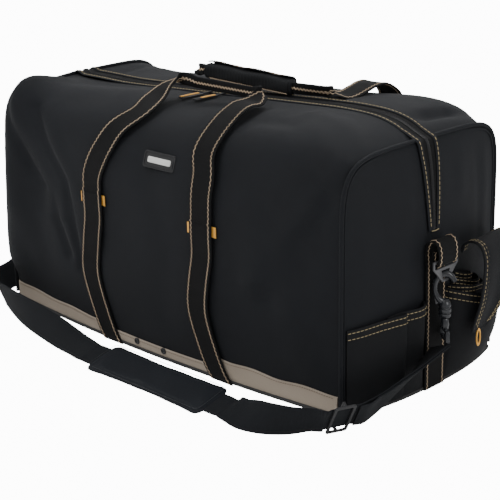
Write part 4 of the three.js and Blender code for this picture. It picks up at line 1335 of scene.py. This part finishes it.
def ringWebbing(name, side):
    line = [(bag["endFace"] + endBulge(0, z) + 3.6, z) for z in np.linspace(1.2, 180, 9)]
    line += [(barAt["x"] + dx, barAt["z"] + dz) for dx, dz in
             ((-12, 21), (-8.5, 24), (-3, 25), (2, 21), (4.4, 12), (4.4, 3), (2.8, -3.4), (-0.2, -5.2),
              (-3.2, -3.4), (-4.4, 3), (-4.6, 11))]
    route = stationRoute([((side * x, 0, z), (0, 1, 0), *webbing.values()) for x, z in line], 260)
    dress(bandPiece(f"{name}_ring_web", route, webbingBlack, 0.1), "bag", "webbing", f"{name}_ring_webbing")
    lines = [zigzag(route, edge, face) for edge in (-1, 1) for face in (-1, 1)]
    sew(f"{name}_ring_web_stitches", lines, tanThread)
    refined(f"{name}_ring", f"{name}_ring_plate", greyPaint, 0.5, f"{name}_ring", "grey_metal")


# snap hook: a bent jaw on a turned, stepped barrel
hook = {
    "drop": 17, "jaw": (12.2, 17.0), "rod": 3.3, "from": -85, "sweep": 250, "steps": 30,
    "barrel": [(4.6, -36), (6.2, -35.4), (7.4, -33.6), (7.8, -31), (6.6, -30.3), (6.6, -29.4), (7.8, -28.6),
               (8.0, -25), (6.8, -24.2), (6.8, -23.3), (7.8, -22.4), (7.6, -19.6), (6.6, -17), (5.2, -15),
               (3.8, -13.2)],
}
hookUp = unit([-0.12, 0.12, 0.985])
sideways = np.array([math.sqrt(0.5), math.sqrt(0.5), 0])
hookTop = np.array([barAt["x"], 0, barAt["z"] - 17.5])


def jawPiece():
    bpy.ops.object.select_all(action="DESELECT")
    bpy.ops.mesh.primitive_circle_add(vertices=18, radius=hook["rod"] * mm, rotation=(math.pi / 2, 0, 0),
                                      location=(hook["jaw"][0] * mm, 0, 0))
    piece = bpy.context.object
    bpy.ops.object.transform_apply(location=True, rotation=True)
    piece.data.transform(Matrix.Rotation(math.radians(hook["from"]), 4, "Z"))
    editing(True)
    bpy.ops.mesh.select_all(action="SELECT")
    bpy.ops.mesh.spin(steps=hook["steps"], angle=math.radians(hook["sweep"]), center=(0, 0, 0),
                      axis=(0, 0, 1))
    bpy.ops.mesh.select_all(action="SELECT")
    bpy.ops.transform.resize(value=(1, hook["jaw"][1] / hook["jaw"][0], 1.45), center_override=(0, 0, 0))
    bpy.ops.mesh.select_all(action="DESELECT")
    bpy.ops.mesh.select_non_manifold()
    bpy.ops.mesh.fill_holes(sides=0)
    editing(False)
    return piece


def hookPieces(name, side):
    middle, outward = hookTop - hookUp * hook["drop"], np.cross(sideways, hookUp)
    flat, upright = (sideways, hookUp, outward), (sideways, -outward, hookUp)
    jaw = finished(jawPiece(), f"{name}_jaw", glossBlack, basis(middle, *flat, side))
    dress(jaw, f"{name}_hook", "black_plastic", f"{name}_hook_body")
    barrel = finished(turned(hook["barrel"]), f"{name}_barrel", glossBlack,
                      basis(middle, *upright, side), 0.2, 30)
    dress(barrel, f"{name}_hook", "black_plastic")
    refined(f"{name}_hook_gate", f"{name}_gate_lever", glossBlack, 0.7, f"{name}_gate", "black_plastic")
    rivet = turned([(1.9, 0), (1.9, 0.9), (1.3, 1.3)], 20)
    spot = middle - hookUp * 26 + outward * 6.4
    dress(finished(rivet, f"{name}_barrel_rivet", darkMetal, basis(spot, *flat, side)),
          f"{name}_hook", "black_plastic")
    refined(f"{name}_hook_eye", f"{name}_eye_plate", glossBlack, 0.6, f"{name}_eye", "black_plastic")


for name, side in (("left", -1), ("right", 1)):
    pocketPiece(f"{name}_front_pocket", side, frontPlan, frontTop, 1.5)
    pocketPiece(f"{name}_rear_pocket", side, rearPlan, rearTop, 4.0)
    gatherPiece(name, side)
    flapPieces(name, side)
    ringWebbing(name, side)
    hookPieces(name, side)
print("pockets, flaps, rings and hooks are on")


# shoulder strap along the ground from hook to hook
def lies(x, y, z, heading, tilt):
    # one edge at a height over the ground, the width tilted up from it
    turn, lean = math.radians(heading + 90), math.radians(tilt)
    across = np.array([math.cos(turn) * math.cos(lean), math.sin(turn) * math.cos(lean), math.sin(lean)])
    return np.array([x, y, z + 1.6]) + across * webbing["width"] / 2, across, *webbing.values()


def rising(side):
    return [((side * x, y, z), (side * a, b, c), *webbing.values()) for x, y, z, a, b, c in
            ((350, -17, 64, 0.7, -0.7, 0.1), (350, -34, 57, 0.68, -0.66, 0.25),
             (349, -62, 46, 0.62, -0.62, 0.45), (346, -92, 35, 0.55, -0.5, 0.65),
             (342, -122, 24, 0.48, -0.3, 0.82))]


padLine = {"y": -249, "z": 7.2, "tilt": 14}
glideAt = {"x": 326, "y": -176, "z": 6.6, "heading": 68, "tilt": 122}
glideTurn = math.radians(glideAt["heading"])
glideRun = np.array([math.cos(glideTurn), math.sin(glideTurn), 0])


def onPad(x):
    return lies(x, padLine["y"], padLine["z"], 0, padLine["tilt"])


def nearGlide(run):
    return lies(glideAt["x"] + run * glideRun[0], glideAt["y"] + run * glideRun[1], glideAt["z"],
                glideAt["heading"], glideAt["tilt"])


strapStations = rising(-1) + [
    lies(-331, -150, 0, -62, 118), lies(-295, -176, 0, -32, 108), lies(-270, -188, 0, -25, 98),
    lies(-238, -201, 0, -20, 86), lies(-197, -215, 0, -15, 68), lies(-143, -227, 0, -10, 48),
    lies(-97, -237, 2, -6, 26), lies(-70, -243, 5, -4, 17), onPad(-44), onPad(-34), onPad(82), onPad(198),
    onPad(208), lies(220, -248, 4, 4, 32), lies(236, -247, 1, 8, 42), lies(257, -241.5, 0, 20, 62),
    lies(279, -231, 1, 34, 84), lies(297, -217, 3, 48, 102), lies(309, -202, 5, 58, 114),
    nearGlide(-21), nearGlide(-16), nearGlide(0), nearGlide(16), nearGlide(21),
] + rising(1)[::-1]
strapRoute = stationRoute(strapStations, 460)
strapPiece = bandPiece("strap_web", strapRoute, strapNavy, 0.0)
dress(strapPiece, "bag", "webbing", "shoulder_strap")


# the end of the strap comes back through the slide and lies on its first layer
def returnLayer():
    under = [nearGlide(20), nearGlide(30)] + rising(1)[::-1]
    spots = np.array([spot for spot, *_ in under])
    runs = np.concatenate([spots[1:2] - spots[:1], spots[2:] - spots[:-2], spots[-1:] - spots[-2:-1]])
    over = [(spot + unit(np.cross(unit(run), across)) * 2.5, across, *webbing.values())
            for spot, run, (_, across, *_) in zip(spots, runs, under)]
    return stationRoute(over, 160)


second = dress(bandPiece("strap_return", returnLayer(), strapNavy), "bag", "webbing")
slidePiece = refined("strap_slide", "strap_tri_glide", satinBlack, 0.55, "strap_slide", "black_plastic")


# padded sleeve of the strap
pad = {"left": -24, "right": 188, "width": 62, "thick": 9.5, "corner": 13, "cap": 3.0, "voxel": 3.4,
       "pressure": 4, "frames": 20, "seam": (6.5, 6)}
padStation = onPad((pad["left"] + pad["right"]) / 2)
padAcross = padStation[1]
padUp = np.cross((1, 0, 0), padAcross)


def padPiece():
    bpy.ops.object.select_all(action="DESELECT")
    bpy.ops.mesh.primitive_cube_add(size=1, location=(0, 0, 0))
    piece = bpy.context.object
    piece.scale = ((pad["right"] - pad["left"] - 3) * mm, (pad["width"] - 3) * mm, (pad["thick"] - 4.4) * mm)
    bpy.ops.object.transform_apply(scale=True)
    editing(True)
    bpy.ops.mesh.select_mode(type="EDGE")
    bpy.ops.mesh.select_all(action="DESELECT")
    shape = bmesh.from_edit_mesh(piece.data)
    for edge in shape.edges:
        low, high = (v.co for v in edge.verts)
        edge.select = abs(low.z - high.z) > 0.001
    bmesh.update_edit_mesh(piece.data)
    bpy.ops.mesh.bevel(offset=pad["corner"] * mm, segments=8, affect="EDGES")
    editing(False)
    remesh = piece.modifiers.new("even", "REMESH")
    remesh.mode, remesh.voxel_size = "VOXEL", pad["voxel"] * mm
    bpy.ops.object.modifier_apply(modifier="even")
    before = np.array([v.co[:] for v in piece.data.vertices])
    puff(piece, before)
    piece.modifiers.new("finer", "SUBSURF").levels = 1
    piece.modifiers["finer"].render_levels = 1
    bpy.ops.object.modifier_apply(modifier="finer")
    sewSeam(piece)
    rows = np.array(basis(padStation[0], (1, 0, 0), padAcross, padUp))
    return finished(piece, "pad_sleeve", padNylon, rows.tolist(), 0, 70)


def puff(piece, before):
    cloth = piece.modifiers.new("puff", "CLOTH")
    cloth.settings.use_pressure = True
    cloth.settings.uniform_pressure_force = pad["pressure"]
    cloth.settings.effector_weights.gravity = 0
    cloth.point_cache.frame_start, cloth.point_cache.frame_end = 1, pad["frames"]
    for frameNumber in range(1, pad["frames"] + 1):
        bpy.context.scene.frame_set(frameNumber)
    alone(piece)
    bpy.ops.object.modifier_apply(modifier="puff")
    after = np.array([v.co[:] for v in piece.data.vertices])
    moved = after - before
    far = np.linalg.norm(moved, axis=1, keepdims=True)
    kept = before + moved * np.minimum(1, pad["cap"] * mm / np.maximum(far, 1e-9))
    piece.data.vertices.foreach_set("co", kept.ravel())
    bpy.context.scene.frame_set(1)


def sewSeam(piece):
    # a sewn channel a little inside the edge, and across near both ends
    spots = np.array([v.co[:] for v in piece.data.vertices])
    halves = (np.array([pad["right"] - pad["left"], pad["width"]]) / 2 - pad["seam"]) * mm
    aside = np.abs(spots[:, :2]) - halves
    outside = np.linalg.norm(np.maximum(aside, 0), axis=1) + np.minimum(aside.max(axis=1), 0)
    groove = 1.1 * mm * np.exp(-(outside / (1.7 * mm)) ** 2)
    spots[:, 2] -= np.sign(spots[:, 2]) * groove * (np.abs(spots[:, 2]) > 1.2 * mm)
    wrinkle = 0.35 * mm * np.sin(spots[:, 0] / 0.011) * np.sin(spots[:, 1] / 0.013 + spots[:, 0] / 0.05)
    spots[:, 2] += wrinkle * np.sign(spots[:, 2])
    piece.data.vertices.foreach_set("co", spots.ravel())
    piece.data.update()


padBody = dress(padPiece(), "shoulder_pad", "nylon", "shoulder_pad")
padMiddle = np.array(padStation[0])
seam = [padMiddle + np.array([1, 0, 0]) * a + padAcross * b + padUp * (pad["thick"] / 2 - 0.35)
        for a, b in roundedOutline(pad["right"] - pad["left"] - 2 * pad["seam"][0],
                                   pad["width"] - 2 * pad["seam"][1], 8, 10)]
seamRoute = lineRoute(seam + seam[:1], [padUp] * (len(seam) + 1))
padLines = running(seamRoute, 0, seamRoute.facing(padUp), 3.0, 1.2)
padThread = dress(tubes("pad_stitches", padLines, navyThread, 0.4), "shoulder_pad", "nylon")
print("strap is", round(strapRoute.length * mm, 3), "m from eye to eye")


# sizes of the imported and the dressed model, for comparing
sizes = {"cad": [list(map(float, corner)) for corner in cadBox],
         "visual": [list(map(float, corner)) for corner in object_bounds()]}
